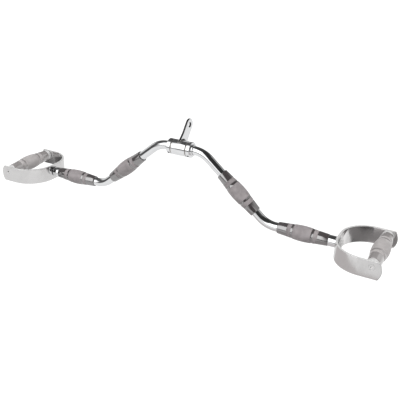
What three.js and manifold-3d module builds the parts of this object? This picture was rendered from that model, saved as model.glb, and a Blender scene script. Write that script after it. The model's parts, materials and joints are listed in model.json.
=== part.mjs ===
// Angled lat pulldown bar with a revolving hanger and two swivelling stirrup handles.
// Lengths are millimetres. X runs along the bar, Y away from the lifter, Z up.
// The origin is the centre of the eye that the cable's hook goes through.

import * as THREE from 'three';
import { mergeVertices } from 'three/addons/utils/BufferGeometryUtils.js';
import Module from 'manifold-3d';

const wasm = await Module();
wasm.setup();

// Clearances
const seatGap = 0.3;
const runningGap = 0.3;
const armGap = 0.8;
const cutOverrun = 2;
const weldTolerance = 0.001;

// Bar
const barDiameter = 25.4;
const bendAngle = THREE.MathUtils.degToRad(40);
const bendRadius = 73;
const hubShoulder = 1.2;
const innerLead = 51.7;
const innerTail = 19.1;
const outerLead = 7.7;
const barEndChamfer = 1;

// Rubber grips on the bar
const gripLength = 141;
const gripBore = barDiameter / 2 + seatGap;
const gripEndWall = 2.9;
const gripCuffWall = 5.3;
const gripBarrelWall = 8.7;

// Details that all six grips share
const cuffShare = 0.205;
const grooveWidth = 2.2;
const grooveDepth = 0.9;
const gripRim = 1.2;

// Revolving hanger
const hangerLean = THREE.MathUtils.degToRad(38);
const sleeveLength = 45;
const sleeveWall = 5.8;
const bushWall = 3;
const bushLength = 18;
const bushFlangeRim = 4;
const bushFlangeThickness = 2;
const sleeveChamfer = 1;

// Eye plate on the hanger
const eyeHoleDiameter = 14;
const eyeRim = 10.5;
const eyeReach = 49.5;
const eyeThickness = 6;
const eyeBevel = 0.8;
const eyeBaseAngle = THREE.MathUtils.degToRad(70);
const eyeFlareShare = 0.55;
const eyeToe = 2.5;
const weldLeg = 4.5;
const weldSagShare = 0.38;

// Retaining collars beside the hanger
const collarFlangeLength = 11.5;
const collarBossWall = 3;
const collarBossLength = 6;
const collarChamfer = 1.2;
const grubDiameter = 6;
const grubSocketDiameter = 3.4;
const grubSocketDepth = 2.5;
const grubSpread = THREE.MathUtils.degToRad(100);

// Swivel at each end of the bar
const endCollarLength = 20.6;
const endCollarWall = 2;
const endCollarChamfer = 1;
const washerThickness = 1.6;
const washerDiameter = 28;
const pivotShoulderDiameter = 14;
const pivotThreadDiameter = 12;
const pivotThreadLength = 30;
const pivotBoreSpare = 2;
const pivotHeadDiameter = 24;
const pivotHeadHeight = 7;
const pivotHeadRim = 2.4;
const pivotSocketDiameter = 9.2;
const pivotSocketDepth = 4;
const pivotBushWall = 2.4;

// Stirrup strap
const strapWidth = 48;
const strapThickness = 6;
const strapFlat = 32;
const strapCornerRadius = 80;
const strapArmToGrip = 30.3;
const strapTipOverhang = 25;
const strapTipBulge = 7.6;
const strapEdgeRound = 0.8;
const gripRise = 8;

// Stirrup grip and its rod
const rodDiameter = 16;
const ferruleSpigotWall = 1.8;
const ferruleSpigotLength = 14;
const ferruleLength = 11;
const ferruleRim = 3.4;
const ferruleRound = 1.6;
const coreWall = 2.3;
const stirrupGripEndWall = 4;
const stirrupGripCuffWall = 6.2;
const stirrupGripBarrelWall = 10.2;
const rodScrewDiameter = 8;
const rodScrewHeadDiameter = 15.6;
const rodScrewLength = 22;
const rodScrewHeadShare = 0.62;
const rodScrewSocketDiameter = 5.8;
const rodScrewSocketDepth = 2.6;
const rodBoreSpare = 2;

// How finely round shapes are divided
const shaftSides = 24;
const gripSides = 18;
const smallSides = 16;
const hexSides = 6;
const bendSteps = 6;
const arcSteps = 6;
const domeSteps = 3;
const barrelSteps = 3;
const weldSteps = 8;
const weldSides = 3;

// Sizes that follow from the ones above
const barRadius = barDiameter / 2;
const bendTangent = bendRadius * Math.tan(bendAngle / 2);
const bushBore = barRadius + runningGap;
const bushRadius = bushBore + bushWall;
const sleeveBore = bushRadius + seatGap;
const sleeveRadius = sleeveBore + sleeveWall;
const sleeveEnd = sleeveLength / 2;
const bushFlangeStart = sleeveEnd + seatGap;
const collarStart = bushFlangeStart + bushFlangeThickness + runningGap;
const collarFlangeEnd = collarStart + collarFlangeLength;
const collarEnd = collarFlangeEnd + collarBossLength;
const collarBore = barRadius + seatGap;
const collarRadius = sleeveRadius;
const centreStraight = collarEnd + hubShoulder;
const innerStraight = innerLead + gripLength + innerTail;
const outerStraight = outerLead + gripLength + seatGap + endCollarLength;
const eyeRadius = eyeHoleDiameter / 2 + eyeRim;
const eyeHeight = sleeveRadius + eyeReach;
const bendX = centreStraight + bendTangent;
const innerRun = innerStraight + bendTangent * 2;
const outerRun = bendTangent + outerStraight;
const outerBendX = bendX + innerRun * Math.cos(bendAngle);
const barEndX = outerBendX + outerRun;
const barEndZ = -innerRun * Math.sin(bendAngle);
const strapStart = seatGap + washerThickness + seatGap;
const strapInnerFace = strapStart + strapThickness;
const innerWasherStart = strapInnerFace + seatGap;
const pivotHeadStart = innerWasherStart + washerThickness + seatGap;
const pivotShoulderRadius = pivotShoulderDiameter / 2;
const pivotBushBore = pivotShoulderRadius + runningGap;
const pivotBushRadius = pivotBushBore + pivotBushWall;
const strapPivotHole = pivotBushRadius + seatGap;
const gripAxisX = strapStart + strapCornerRadius + strapArmToGrip;
const strapTipX = gripAxisX + strapTipOverhang;
const strapHalfSpan = strapFlat / 2 + strapCornerRadius;
const innerHalfSpan = strapHalfSpan - strapThickness;
const ferruleOuterY = innerHalfSpan - armGap;
const ferruleInnerY = ferruleOuterY - ferruleLength;
const stirrupGripHalf = ferruleInnerY - seatGap;
const ferruleBore = rodDiameter / 2 + runningGap;
const ferruleSpigotRadius = ferruleBore + ferruleSpigotWall;
const coreBore = ferruleSpigotRadius + seatGap;
const coreRadius = coreBore + coreWall;
const ferruleRadius = coreRadius + ferruleRim;
const stirrupGripBore = coreRadius + seatGap;

// Materials
const chrome = new THREE.MeshStandardMaterial({ color: 0xd9dadb, roughness: 0.12, metalness: 1 });
const satinSteel = new THREE.MeshStandardMaterial({ color: 0xb9b8b8, roughness: 0.42, metalness: 1 });
const greyRubber = new THREE.MeshStandardMaterial({ color: 0x6f6b6b, roughness: 0.62, metalness: 0 });
const bronze = new THREE.MeshStandardMaterial({ color: 0xa57c4c, roughness: 0.45, metalness: 1 });
const blackNylon = new THREE.MeshStandardMaterial({ color: 0x1b1b1c, roughness: 0.6, metalness: 0 });
const darkSteel = new THREE.MeshStandardMaterial({ color: 0x55565a, roughness: 0.4, metalness: 1 });

// Keeps only the positions of a geometry, with shared corners welded
function welded(geometry) {
  const bare = geometry.clone();
  bare.deleteAttribute('normal');
  bare.deleteAttribute('uv');
  return mergeVertices(bare);
}

// Turns a closed geometry into a solid that can be cut
function toSolid(geometry) {
  const bare = welded(geometry);
  const vertProperties = new Float32Array(bare.getAttribute('position').array);
  const triVerts = new Uint32Array(bare.getIndex().array);
  return new wasm.Manifold(new wasm.Mesh({ numProp: 3, vertProperties, triVerts }));
}

// Turns a solid back into a geometry
function fromSolid(solid) {
  const mesh = solid.getMesh();
  const geometry = new THREE.BufferGeometry();
  geometry.setAttribute('position', new THREE.BufferAttribute(mesh.vertProperties, 3));
  geometry.setIndex(new THREE.BufferAttribute(mesh.triVerts, 1));
  return geometry;
}

// Cuts a list of geometries out of a body
function cut(body, ...tools) {
  return fromSolid(tools.reduce((solid, tool) => solid.subtract(toSolid(tool)), toSolid(body)));
}

// Revolves a profile of [place along X, radius] pairs about the X axis. A profile with a
// bore runs out along the outside and back along the bore.
function turned(profile, sides = shaftSides) {
  const points = profile.map(([along, radius]) => new THREE.Vector2(radius, along));
  const geometry = new THREE.LatheGeometry(points, sides);
  geometry.rotateZ(-Math.PI / 2);
  return welded(geometry);
}

// A ring about the X axis with chamfered outer edges
function chamferedRing(start, end, bore, radius, chamfer) {
  return turned([
    [start, bore],
    [start, radius - chamfer],
    [start + chamfer, radius],
    [end - chamfer, radius],
    [end, radius - chamfer],
    [end, bore],
    [start, bore],
  ]);
}

// A square-edged ring about the X axis
function ring(start, end, bore, radius, sides = shaftSides) {
  return turned([[start, bore], [start, radius], [end, radius], [end, bore], [start, bore]], sides);
}

// A plain round pin about the X axis, used for cuts
function rod(start, end, radius, sides = smallSides) {
  return turned([[start, 0], [start, radius], [end, radius], [end, 0]], sides);
}

// A hexagon recess about the X axis
function socket(start, end, acrossCorners) {
  return rod(start, end, acrossCorners / 2, hexSides);
}

// Drops the doubled points where the curves of an outline meet
function singlePoints(points) {
  return points.filter((point, index) => {
    const next = points[(index + 1) % points.length];
    return point.distanceTo(next) > weldTolerance;
  });
}

// Extrudes an outline along Z with eased edges, centred on zero
function easedPlate(outline, thickness, bevel) {
  const { shape: edge, holes } = outline.extractPoints(arcSteps);
  const shape = new THREE.Shape(singlePoints(edge));
  shape.holes = holes.map((hole) => new THREE.Path(singlePoints(hole)));
  const geometry = new THREE.ExtrudeGeometry(shape, {
    depth: thickness - bevel * 2,
    bevelEnabled: true,
    bevelSize: bevel,
    bevelOffset: -bevel,
    bevelThickness: bevel,
    bevelSegments: 1,
  });
  return geometry.translate(0, 0, bevel - thickness / 2);
}

// Lays an outline drawn in Y and Z on edge, with its thickness centred along X
function plateAcrossX(outline, thickness, bevel) {
  const geometry = easedPlate(outline, thickness, bevel);
  const basis = new THREE.Matrix4().makeBasis(
    new THREE.Vector3(0, 1, 0), new THREE.Vector3(0, 0, 1), new THREE.Vector3(1, 0, 0));
  return geometry.applyMatrix4(basis);
}

// A path given by exact places and directions, one for each step of a sweep
class StationPath extends THREE.Curve {
  constructor(stations) {
    super();
    this.stations = stations;
  }

  at(share) {
    return this.stations[Math.round(share * (this.stations.length - 1))];
  }

  getPoint(share, target = new THREE.Vector3()) {
    return target.copy(this.at(share).point);
  }

  getPointAt(share, target = new THREE.Vector3()) {
    return target.copy(this.at(share).point);
  }

  getTangent(share, target = new THREE.Vector3()) {
    return target.copy(this.at(share).direction);
  }

  getTangentAt(share, target = new THREE.Vector3()) {
    return target.copy(this.at(share).direction);
  }
}

// Sweeps a shape along a list of stations
function swept(shape, stations) {
  const path = new StationPath(stations);
  return new THREE.ExtrudeGeometry(shape, {
    steps: stations.length - 1,
    extrudePath: path,
    curveSegments: shaftSides / 2,
  });
}

// Stations of the right half of the bar, from its middle to its end
function halfBarStations() {
  const stations = [];
  const place = new THREE.Vector3();
  let slope = 0;
  const heading = () => new THREE.Vector3(Math.cos(slope), 0, -Math.sin(slope));
  const push = () => stations.push({ point: place.clone(), direction: heading() });
  const straight = (length) => {
    place.addScaledVector(heading(), length);
    push();
  };
  const bend = (turn) => {
    const stepTurn = turn / bendSteps;
    const chord = bendRadius * Math.sin(Math.abs(stepTurn) / 2) * 2;
    for (let step = 0; step < bendSteps; step += 1) {
      slope += stepTurn / 2;
      place.addScaledVector(heading(), chord);
      slope += stepTurn / 2;
      push();
    }
  };
  straight(centreStraight);
  bend(bendAngle);
  straight(innerStraight);
  bend(-bendAngle);
  straight(outerStraight - barEndChamfer);
  return stations;
}

// The solid round bar in one piece, with a tapped bore in each end
function barGeometry() {
  const right = halfBarStations();
  const left = right.map(({ point, direction }) => ({
    point: new THREE.Vector3(-point.x, 0, point.z),
    direction: new THREE.Vector3(direction.x, 0, -direction.z),
  })).reverse();
  const section = new THREE.Shape();
  section.absarc(0, 0, barRadius, 0, Math.PI * 2);
  let solid = toSolid(swept(section, [...left, ...right]));
  const boreDepth = pivotThreadLength + pivotBoreSpare;
  const tip = turned([
    [-barEndChamfer, 0],
    [-barEndChamfer, barRadius],
    [0, barRadius - barEndChamfer],
    [0, 0],
  ]);
  const bore = rod(-boreDepth, cutOverrun, pivotThreadDiameter / 2 + seatGap);
  for (const turn of [0, Math.PI]) {
    const place = new THREE.Matrix4().makeRotationZ(turn);
    place.setPosition(barEndX * Math.cos(turn), 0, barEndZ);
    solid = solid.add(toSolid(tip.clone().applyMatrix4(place)));
    solid = solid.subtract(toSolid(bore.clone().applyMatrix4(place)));
  }
  return fromSolid(solid);
}

// Moulded rubber sleeve: a smooth cuff at each end, a groove, and a crowned barrel between
function gripGeometry(half, bore, endWall, cuffWall, barrelWall) {
  const cuff = half * 2 * cuffShare;
  const barrelHalf = half - cuff - grooveWidth;
  const outside = [
    [half, bore + endWall - gripRim],
    [half - gripRim, bore + endWall],
    [half - cuff, bore + cuffWall],
    [half - cuff - grooveWidth / 2, bore + cuffWall - grooveDepth],
    [barrelHalf, bore + cuffWall],
  ];
  for (let step = 1; step < barrelSteps; step += 1) {
    const share = 1 - (step / barrelSteps);
    const crown = Math.cos(share * Math.PI / 2);
    outside.push([barrelHalf * share, bore + cuffWall + (barrelWall - cuffWall) * crown]);
  }
  const mirrored = outside.map(([along, radius]) => [-along, radius]);
  const middle = [0, bore + barrelWall];
  return turned([
    [-half, bore],
    ...mirrored,
    middle,
    ...outside.reverse(),
    [half, bore],
    [-half, bore],
  ], gripSides);
}

// Steel sleeve of the hanger, which turns on the two bushes
function sleeveGeometry() {
  return chamferedRing(-sleeveEnd, sleeveEnd, sleeveBore, sleeveRadius, sleeveChamfer);
}

// Bearing bush with its flange outside the sleeve, drawn for the +X end
function bushGeometry() {
  const start = sleeveEnd - bushLength;
  const flangeEnd = bushFlangeStart + bushFlangeThickness;
  return turned([
    [start, bushBore],
    [start, bushRadius],
    [bushFlangeStart, bushRadius],
    [bushFlangeStart, bushRadius + bushFlangeRim],
    [flangeEnd, bushRadius + bushFlangeRim],
    [flangeEnd, bushBore],
    [start, bushBore],
  ]);
}

// Retaining collar with a wide flange and a small boss, drawn for the +X end
function collarGeometry() {
  const bossRadius = collarBore + collarBossWall;
  const body = turned([
    [collarStart, collarBore],
    [collarStart, collarRadius - collarChamfer],
    [collarStart + collarChamfer, collarRadius],
    [collarFlangeEnd - collarChamfer, collarRadius],
    [collarFlangeEnd, collarRadius - collarChamfer],
    [collarFlangeEnd, bossRadius],
    [collarEnd - collarChamfer, bossRadius],
    [collarEnd, bossRadius - collarChamfer],
    [collarEnd, collarBore],
    [collarStart, collarBore],
  ]);
  const hole = grubDiameter / 2 + seatGap;
  return cut(body, ...grubPlaces().map((place) => (
    rod(barRadius - cutOverrun, collarRadius + cutOverrun, hole).applyMatrix4(place))));
}

// Places of a collar's two grub screws, which point in from the underside
function grubPlaces() {
  return [-1, 1].map((sign) => {
    const place = new THREE.Matrix4().makeTranslation((collarStart + collarFlangeEnd) / 2, 0, 0);
    place.multiply(new THREE.Matrix4().makeRotationX(sign * grubSpread / 2));
    return place.multiply(new THREE.Matrix4().makeRotationY(Math.PI / 2));
  });
}

// One grub screw, from the bar's surface to just under the collar's rim
function grubGeometry() {
  const start = barRadius + seatGap;
  const end = collarRadius - collarChamfer;
  return cut(
    rod(start, end, grubDiameter / 2),
    socket(end - grubSocketDepth, end + cutOverrun, grubSocketDiameter));
}

// Outline of the eye plate, in Y and Z about the bar's axis. The foot follows the sleeve,
// ends in a blunt toe at each side, and sweeps up into the straight edges.
function eyeOutline() {
  const top = Math.PI / 2;
  const footRadius = sleeveRadius + seatGap;
  const toeRadius = footRadius + eyeToe;
  const toeY = toeRadius * Math.sin(eyeBaseAngle);
  const toeZ = toeRadius * Math.cos(eyeBaseAngle);
  const flareZ = toeZ + (eyeHeight - toeZ) * eyeFlareShare;
  const tangentZ = (toeRadius * toeRadius - eyeRadius * toeY) / toeZ;
  const controlZ = tangentZ + (flareZ - tangentZ) * eyeFlareShare;
  const shape = new THREE.Shape();
  shape.moveTo(toeY, toeZ);
  shape.quadraticCurveTo(eyeRadius, controlZ, eyeRadius, flareZ);
  shape.absarc(0, eyeHeight, eyeRadius, 0, Math.PI, false);
  shape.lineTo(-eyeRadius, flareZ);
  shape.quadraticCurveTo(-eyeRadius, controlZ, -toeY, toeZ);
  shape.absarc(0, 0, footRadius, top + eyeBaseAngle, top - eyeBaseAngle, true);
  const hole = new THREE.Path();
  hole.absarc(0, eyeHeight, eyeHoleDiameter / 2, 0, Math.PI * 2, true);
  shape.holes.push(hole);
  return shape;
}

// Fillet weld on one face of the eye plate, along the top of the sleeve
function weldGeometry(side) {
  const radius = sleeveRadius + seatGap;
  const reach = eyeBaseAngle - weldLeg / radius;
  const stations = [];
  for (let step = 0; step <= weldSteps; step += 1) {
    const angle = reach * ((step / weldSteps) * 2 - 1);
    stations.push({
      point: new THREE.Vector3(0, radius * Math.sin(angle), radius * Math.cos(angle)),
      direction: new THREE.Vector3(0, Math.cos(angle), -Math.sin(angle)),
    });
  }
  const path = new StationPath(stations);
  const frames = path.computeFrenetFrames(weldSteps, false);
  const toward = new THREE.Vector3(side, 0, 0);
  const outward = stations[0].point.clone().normalize();
  const flat = (along, out) => {
    const spot = toward.clone().multiplyScalar(along).addScaledVector(outward, out);
    return new THREE.Vector2(spot.dot(frames.normals[0]), spot.dot(frames.binormals[0]));
  };
  const foot = eyeThickness / 2 + seatGap;
  const corners = [flat(foot, 0)];
  for (let step = 0; step <= weldSides; step += 1) {
    const angle = (step / weldSides) * Math.PI / 2;
    const sag = 1 - Math.sin(angle * 2) * weldSagShare;
    corners.push(flat(foot + weldLeg * sag * Math.cos(angle), weldLeg * sag * Math.sin(angle)));
  }
  if (THREE.ShapeUtils.isClockWise(corners)) corners.reverse();
  return swept(new THREE.Shape(corners), stations);
}

// Boss over the end of the bar, drawn with the bar's end face at zero
function endCollarGeometry() {
  const bore = barRadius + seatGap;
  return chamferedRing(-endCollarLength, 0, bore, bore + endCollarWall, endCollarChamfer);
}

// Shoulder bolt that the stirrup turns on, with a low domed head inside the strap
function pivotBoltGeometry() {
  const threadRadius = pivotThreadDiameter / 2;
  const headRadius = pivotHeadDiameter / 2;
  const headEnd = pivotHeadStart + pivotHeadHeight;
  const dome = [];
  for (let step = 1; step < domeSteps; step += 1) {
    const angle = (step / domeSteps) * Math.PI / 2;
    const rise = (pivotHeadHeight - pivotHeadRim) * Math.sin(angle);
    dome.push([pivotHeadStart + pivotHeadRim + rise, headRadius * Math.cos(angle)]);
  }
  const body = turned([
    [-pivotThreadLength, 0],
    [-pivotThreadLength, threadRadius],
    [seatGap, threadRadius],
    [seatGap, pivotShoulderRadius],
    [pivotHeadStart, pivotShoulderRadius],
    [pivotHeadStart, headRadius],
    [pivotHeadStart + pivotHeadRim, headRadius],
    ...dome,
    [headEnd, 0],
  ], gripSides);
  return cut(body, socket(headEnd - pivotSocketDepth, headEnd + cutOverrun, pivotSocketDiameter));
}

// Flat washer on the shoulder bolt
function washerGeometry(start) {
  return ring(start, start + washerThickness, pivotBushBore, washerDiameter / 2);
}

// Outline of the bent strap seen from above, with the bar's end face at zero
function strapPlan() {
  const flat = strapFlat / 2;
  const centreX = strapStart + strapCornerRadius;
  const innerRadius = strapCornerRadius - strapThickness;
  const quarter = Math.PI / 2;
  const shape = new THREE.Shape();
  shape.moveTo(strapTipX, -strapHalfSpan);
  shape.lineTo(strapTipX, -innerHalfSpan);
  shape.absarc(centreX, -flat, innerRadius, -quarter, -Math.PI, true);
  shape.absarc(centreX, flat, innerRadius, Math.PI, quarter, true);
  shape.lineTo(strapTipX, innerHalfSpan);
  shape.lineTo(strapTipX, strapHalfSpan);
  shape.absarc(centreX, flat, strapCornerRadius, quarter, Math.PI, false);
  shape.absarc(centreX, -flat, strapCornerRadius, Math.PI, quarter * 3, false);
  return shape;
}

// Outline of the strap seen from the side, with its crowned tip, drawn in X and Z
function strapSide() {
  const half = strapWidth / 2;
  const crownRadius = (half * half + strapTipBulge * strapTipBulge) / (strapTipBulge * 2);
  const crownAngle = Math.asin(half / crownRadius);
  const shape = new THREE.Shape();
  shape.moveTo(-cutOverrun, -half - cutOverrun);
  shape.lineTo(strapTipX - strapTipBulge, -half - cutOverrun);
  shape.lineTo(strapTipX - strapTipBulge, -half);
  shape.absarc(strapTipX - crownRadius, 0, crownRadius, -crownAngle, crownAngle, false);
  shape.lineTo(strapTipX - strapTipBulge, half + cutOverrun);
  shape.lineTo(-cutOverrun, half + cutOverrun);
  return shape;
}

// Points an X axis part along Y, at the stirrup grip's place
function atGripAxis(geometry) {
  geometry.rotateZ(Math.PI / 2);
  return geometry.translate(gripAxisX, 0, gripRise);
}

// Countersunk hole or screw body from the outer face of an arm inwards, drawn along X
function countersunk(shank, head, length, outerOverrun) {
  const coneDepth = strapThickness * rodScrewHeadShare;
  const slope = (head - shank) / coneDepth;
  return turned([
    [strapHalfSpan - length, 0],
    [strapHalfSpan - length, shank],
    [strapHalfSpan - coneDepth, shank],
    [strapHalfSpan + outerOverrun, head + slope * outerOverrun],
    [strapHalfSpan + outerOverrun, 0],
  ], smallSides);
}

// U-shaped strap, bent from flat bar
function strapGeometry() {
  const plan = easedPlate(strapPlan(), strapWidth, strapEdgeRound);
  const side = new THREE.ExtrudeGeometry(strapSide(), {
    depth: (strapHalfSpan + cutOverrun) * 2,
    bevelEnabled: false,
    curveSegments: arcSteps,
  });
  side.translate(0, 0, -strapHalfSpan - cutOverrun);
  side.rotateX(Math.PI / 2);
  const blank = fromSolid(toSolid(plan).intersect(toSolid(side)));
  const screwHole = countersunk(
    rodScrewDiameter / 2 + seatGap, rodScrewHeadDiameter / 2 + seatGap,
    strapThickness + cutOverrun, cutOverrun);
  const holes = [0, Math.PI].map((turn) => {
    const hole = atGripAxis(screwHole.clone());
    hole.translate(-gripAxisX, 0, 0).rotateZ(turn);
    return hole.translate(gripAxisX, 0, 0);
  });
  return cut(blank, rod(0, strapInnerFace + cutOverrun, strapPivotHole, shaftSides), ...holes);
}

// Plain bush pressed into the strap, running on the bolt's shoulder
function pivotBushGeometry() {
  return ring(strapStart, strapInnerFace, pivotBushBore, pivotBushRadius);
}

// Steel rod between the arms, tapped at both ends
function gripRodGeometry() {
  const half = innerHalfSpan - seatGap;
  const depth = rodScrewLength - strapThickness + rodBoreSpare;
  const radius = rodDiameter / 2;
  const bore = rodScrewDiameter / 2 + seatGap;
  const bar = rod(-half, half, radius, gripSides);
  const cuts = [
    rod(half - depth, half + cutOverrun, bore),
    rod(-half - cutOverrun, depth - half, bore),
  ];
  return atGripAxis(cut(bar, ...cuts));
}

// Countersunk screw through one arm into the rod
function rodScrewGeometry() {
  return cut(
    countersunk(rodScrewDiameter / 2, rodScrewHeadDiameter / 2, rodScrewLength, 0),
    socket(strapHalfSpan - rodScrewSocketDepth, strapHalfSpan + cutOverrun, rodScrewSocketDiameter));
}

// Thin steel tube inside the stirrup grip
function gripCoreGeometry() {
  return atGripAxis(ring(-stirrupGripHalf, stirrupGripHalf, coreBore, coreRadius, gripSides));
}

// Chromed ferrule at one end of the stirrup grip, with a spigot inside the tube
function ferruleGeometry() {
  const spigotEnd = ferruleInnerY - ferruleSpigotLength;
  return turned([
    [spigotEnd, ferruleBore],
    [spigotEnd, ferruleSpigotRadius],
    [ferruleInnerY, ferruleSpigotRadius],
    [ferruleInnerY, ferruleRadius],
    [ferruleOuterY - ferruleRound, ferruleRadius],
    [ferruleOuterY, ferruleRadius - ferruleRound],
    [ferruleOuterY, ferruleBore],
    [spigotEnd, ferruleBore],
  ], gripSides);
}

const model = new THREE.Group();

// Adds one named piece to a group
function add(group, name, geometry, material) {
  const mesh = new THREE.Mesh(geometry, material);
  mesh.name = name;
  group.add(mesh);
  return mesh;
}

// Hanger, which leans back about the bar's axis
function buildHanger(parent) {
  const hanger = new THREE.Group();
  hanger.rotation.x = -hangerLean;
  parent.add(hanger);
  add(hanger, 'hanger_sleeve', sleeveGeometry(), chrome);
  add(hanger, 'eye_plate', plateAcrossX(eyeOutline(), eyeThickness, eyeBevel), chrome);
  add(hanger, 'eye_weld_left', weldGeometry(-1), chrome);
  add(hanger, 'eye_weld_right', weldGeometry(1), chrome);
  add(hanger, 'hanger_bush_right', bushGeometry(), bronze);
  add(hanger, 'hanger_bush_left', bushGeometry(), bronze).rotation.z = Math.PI;
}

// Bar with its collars and the four grips
function buildBar(parent) {
  add(parent, 'bar', barGeometry(), chrome);
  const innerMiddle = bendTangent + innerLead + gripLength / 2;
  const outerMiddle = bendTangent + outerLead + gripLength / 2;
  const innerPlace = [bendX + innerMiddle * Math.cos(bendAngle), -innerMiddle * Math.sin(bendAngle)];
  for (const [name, turn, labels] of [
    ['left', Math.PI, ['back', 'front']],
    ['right', 0, ['front', 'back']],
  ]) {
    const side = new THREE.Group();
    side.rotation.z = turn;
    parent.add(side);
    add(side, `retaining_collar_${name}`, collarGeometry(), chrome);
    const grip = gripGeometry(gripLength / 2, gripBore, gripEndWall, gripCuffWall, gripBarrelWall);
    const inner = add(side, `inner_grip_${name}`, grip, greyRubber);
    inner.rotation.y = bendAngle;
    inner.position.set(innerPlace[0], 0, innerPlace[1]);
    const outer = add(side, `outer_grip_${name}`, grip, greyRubber);
    outer.position.set(outerBendX + outerMiddle, 0, barEndZ);
    grubPlaces().forEach((place, index) => {
      const grub = grubGeometry().applyMatrix4(place);
      add(side, `grub_screw_${name}_${labels[index]}`, grub, darkSteel);
    });
  }
}

// Swivel pieces and stirrup at one end of the bar
function buildStirrup(parent, name, turn) {
  const end = new THREE.Group();
  end.rotation.z = turn;
  end.position.set(barEndX * Math.cos(turn), 0, barEndZ);
  parent.add(end);
  add(end, `end_collar_${name}`, endCollarGeometry(), chrome);
  add(end, `thrust_washer_${name}`, washerGeometry(seatGap), blackNylon);
  add(end, `head_washer_${name}`, washerGeometry(innerWasherStart), darkSteel);
  add(end, `pivot_bolt_${name}`, pivotBoltGeometry(), chrome);
  add(end, `pivot_bush_${name}`, pivotBushGeometry(), bronze);
  add(end, `strap_${name}`, strapGeometry(), satinSteel);
  add(end, `grip_rod_${name}`, gripRodGeometry(), darkSteel);
  add(end, `grip_core_${name}`, gripCoreGeometry(), darkSteel);
  const grip = gripGeometry(
    stirrupGripHalf, stirrupGripBore, stirrupGripEndWall, stirrupGripCuffWall, stirrupGripBarrelWall);
  add(end, `stirrup_grip_${name}`, atGripAxis(grip), greyRubber);
  for (const [local, flip] of [[1, 0], [-1, Math.PI]]) {
    const place = local * Math.cos(turn) > 0 ? 'back' : 'front';
    const ferrule = ferruleGeometry().rotateZ(flip);
    add(end, `ferrule_${name}_${place}`, atGripAxis(ferrule), chrome);
    const screw = rodScrewGeometry().rotateZ(flip);
    add(end, `rod_screw_${name}_${place}`, atGripAxis(screw), satinSteel);
  }
}

const frame = new THREE.Group();
frame.position.set(0, -eyeHeight * Math.sin(hangerLean), -eyeHeight * Math.cos(hangerLean));
model.add(frame);
buildHanger(frame);
buildBar(frame);
buildStirrup(frame, 'left', Math.PI);
buildStirrup(frame, 'right', 0);

export default model;
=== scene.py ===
"""Angled lat pulldown bar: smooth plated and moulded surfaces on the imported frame.

Lengths are metres in the frame's own axes. X runs along the bar, +Y away from the lifter, +Z up.
"""

import json
import math

import bmesh
import bpy
from bpy.props import (
    FloatProperty, FloatVectorProperty, IntProperty, PointerProperty)
from bpy.types import Operator, Panel, PropertyGroup
from mathutils import Matrix, Vector


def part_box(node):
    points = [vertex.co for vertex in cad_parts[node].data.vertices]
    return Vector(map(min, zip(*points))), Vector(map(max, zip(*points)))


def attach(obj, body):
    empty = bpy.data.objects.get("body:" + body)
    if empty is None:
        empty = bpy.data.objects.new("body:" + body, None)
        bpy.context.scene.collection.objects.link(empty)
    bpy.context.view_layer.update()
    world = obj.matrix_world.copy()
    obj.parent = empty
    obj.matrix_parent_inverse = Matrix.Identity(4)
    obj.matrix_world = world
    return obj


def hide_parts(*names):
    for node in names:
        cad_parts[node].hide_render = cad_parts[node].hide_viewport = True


bl_info = {
    "name": "Angled Lat Pulldown Bar",
    "version": (1, 0, 0),
    "blender": (4, 5, 0),
    "location": "View3D > Sidebar > Lat Bar",
    "description": "Builds a chromed lat pulldown bar with rubber grips and swivelling stirrups",
    "category": "Add Mesh",
}

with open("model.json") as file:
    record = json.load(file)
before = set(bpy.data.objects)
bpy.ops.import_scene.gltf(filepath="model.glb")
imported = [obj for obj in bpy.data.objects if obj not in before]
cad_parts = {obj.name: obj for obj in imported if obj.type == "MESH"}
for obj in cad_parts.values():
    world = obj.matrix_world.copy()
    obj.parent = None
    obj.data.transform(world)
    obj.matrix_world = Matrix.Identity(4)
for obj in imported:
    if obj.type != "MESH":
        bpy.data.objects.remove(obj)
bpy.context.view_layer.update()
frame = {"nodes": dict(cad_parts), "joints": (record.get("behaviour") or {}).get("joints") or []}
PIVOTS = {joint["name"]: Vector(joint["pos_m"]) for joint in frame["joints"]}
HUB = PIVOTS["hanger_swivel"]
BAR_END = PIVOTS["stirrup_swivel_right"]
HANDLE_AXIS = PIVOTS["handle_spin_right"]

QUARTER = math.pi / 2
SIDES = {"left": math.pi, "right": 0.0}
ARMS = {"back": 0.0, "front": math.pi}

# The attribute that keeps a mesh's coordinates from before it was placed.
PATTERN = "pattern"
SMOOTH_ANGLE = math.radians(32)
# How far a cutter reaches past what it cuts.
OVERRUN = 0.002
# A radius below the first is a point on the axis. Outline points closer than the second count
# as one, and mesh points closer than the third are merged.
ON_AXIS = 1e-7
OUTLINE_GAP = 1e-5
MERGE_GAP = 2e-6

# The photograph's frame, in pixels across.
FRAME_PIXELS = 400

WHITE = (1.0, 1.0, 1.0)
BLACK = (0.0, 0.0, 0.0)


# Property helpers

def length(label, note, default):
    """A length in metres that the user can change."""
    return FloatProperty(
        name=label, description=note, default=default, min=0.0, unit="LENGTH", precision=5)


def angle(label, note, degrees):
    """An angle that the user can change."""
    return FloatProperty(
        name=label, description=note, default=math.radians(degrees), subtype="ANGLE")


def count(label, note, default):
    """A number of divisions that the user can change."""
    return IntProperty(name=label, description=note, default=default, min=3, soft_max=256)


def colour(label, note, default):
    """A linear colour that the user can change."""
    return FloatVectorProperty(
        name=label, description=note, default=default, size=3, min=0.0, max=1.0, subtype="COLOR")


def share(label, note, default):
    """A share between nothing and all."""
    return FloatProperty(
        name=label, description=note, default=default, min=0.0, max=1.0, subtype="FACTOR")


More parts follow.
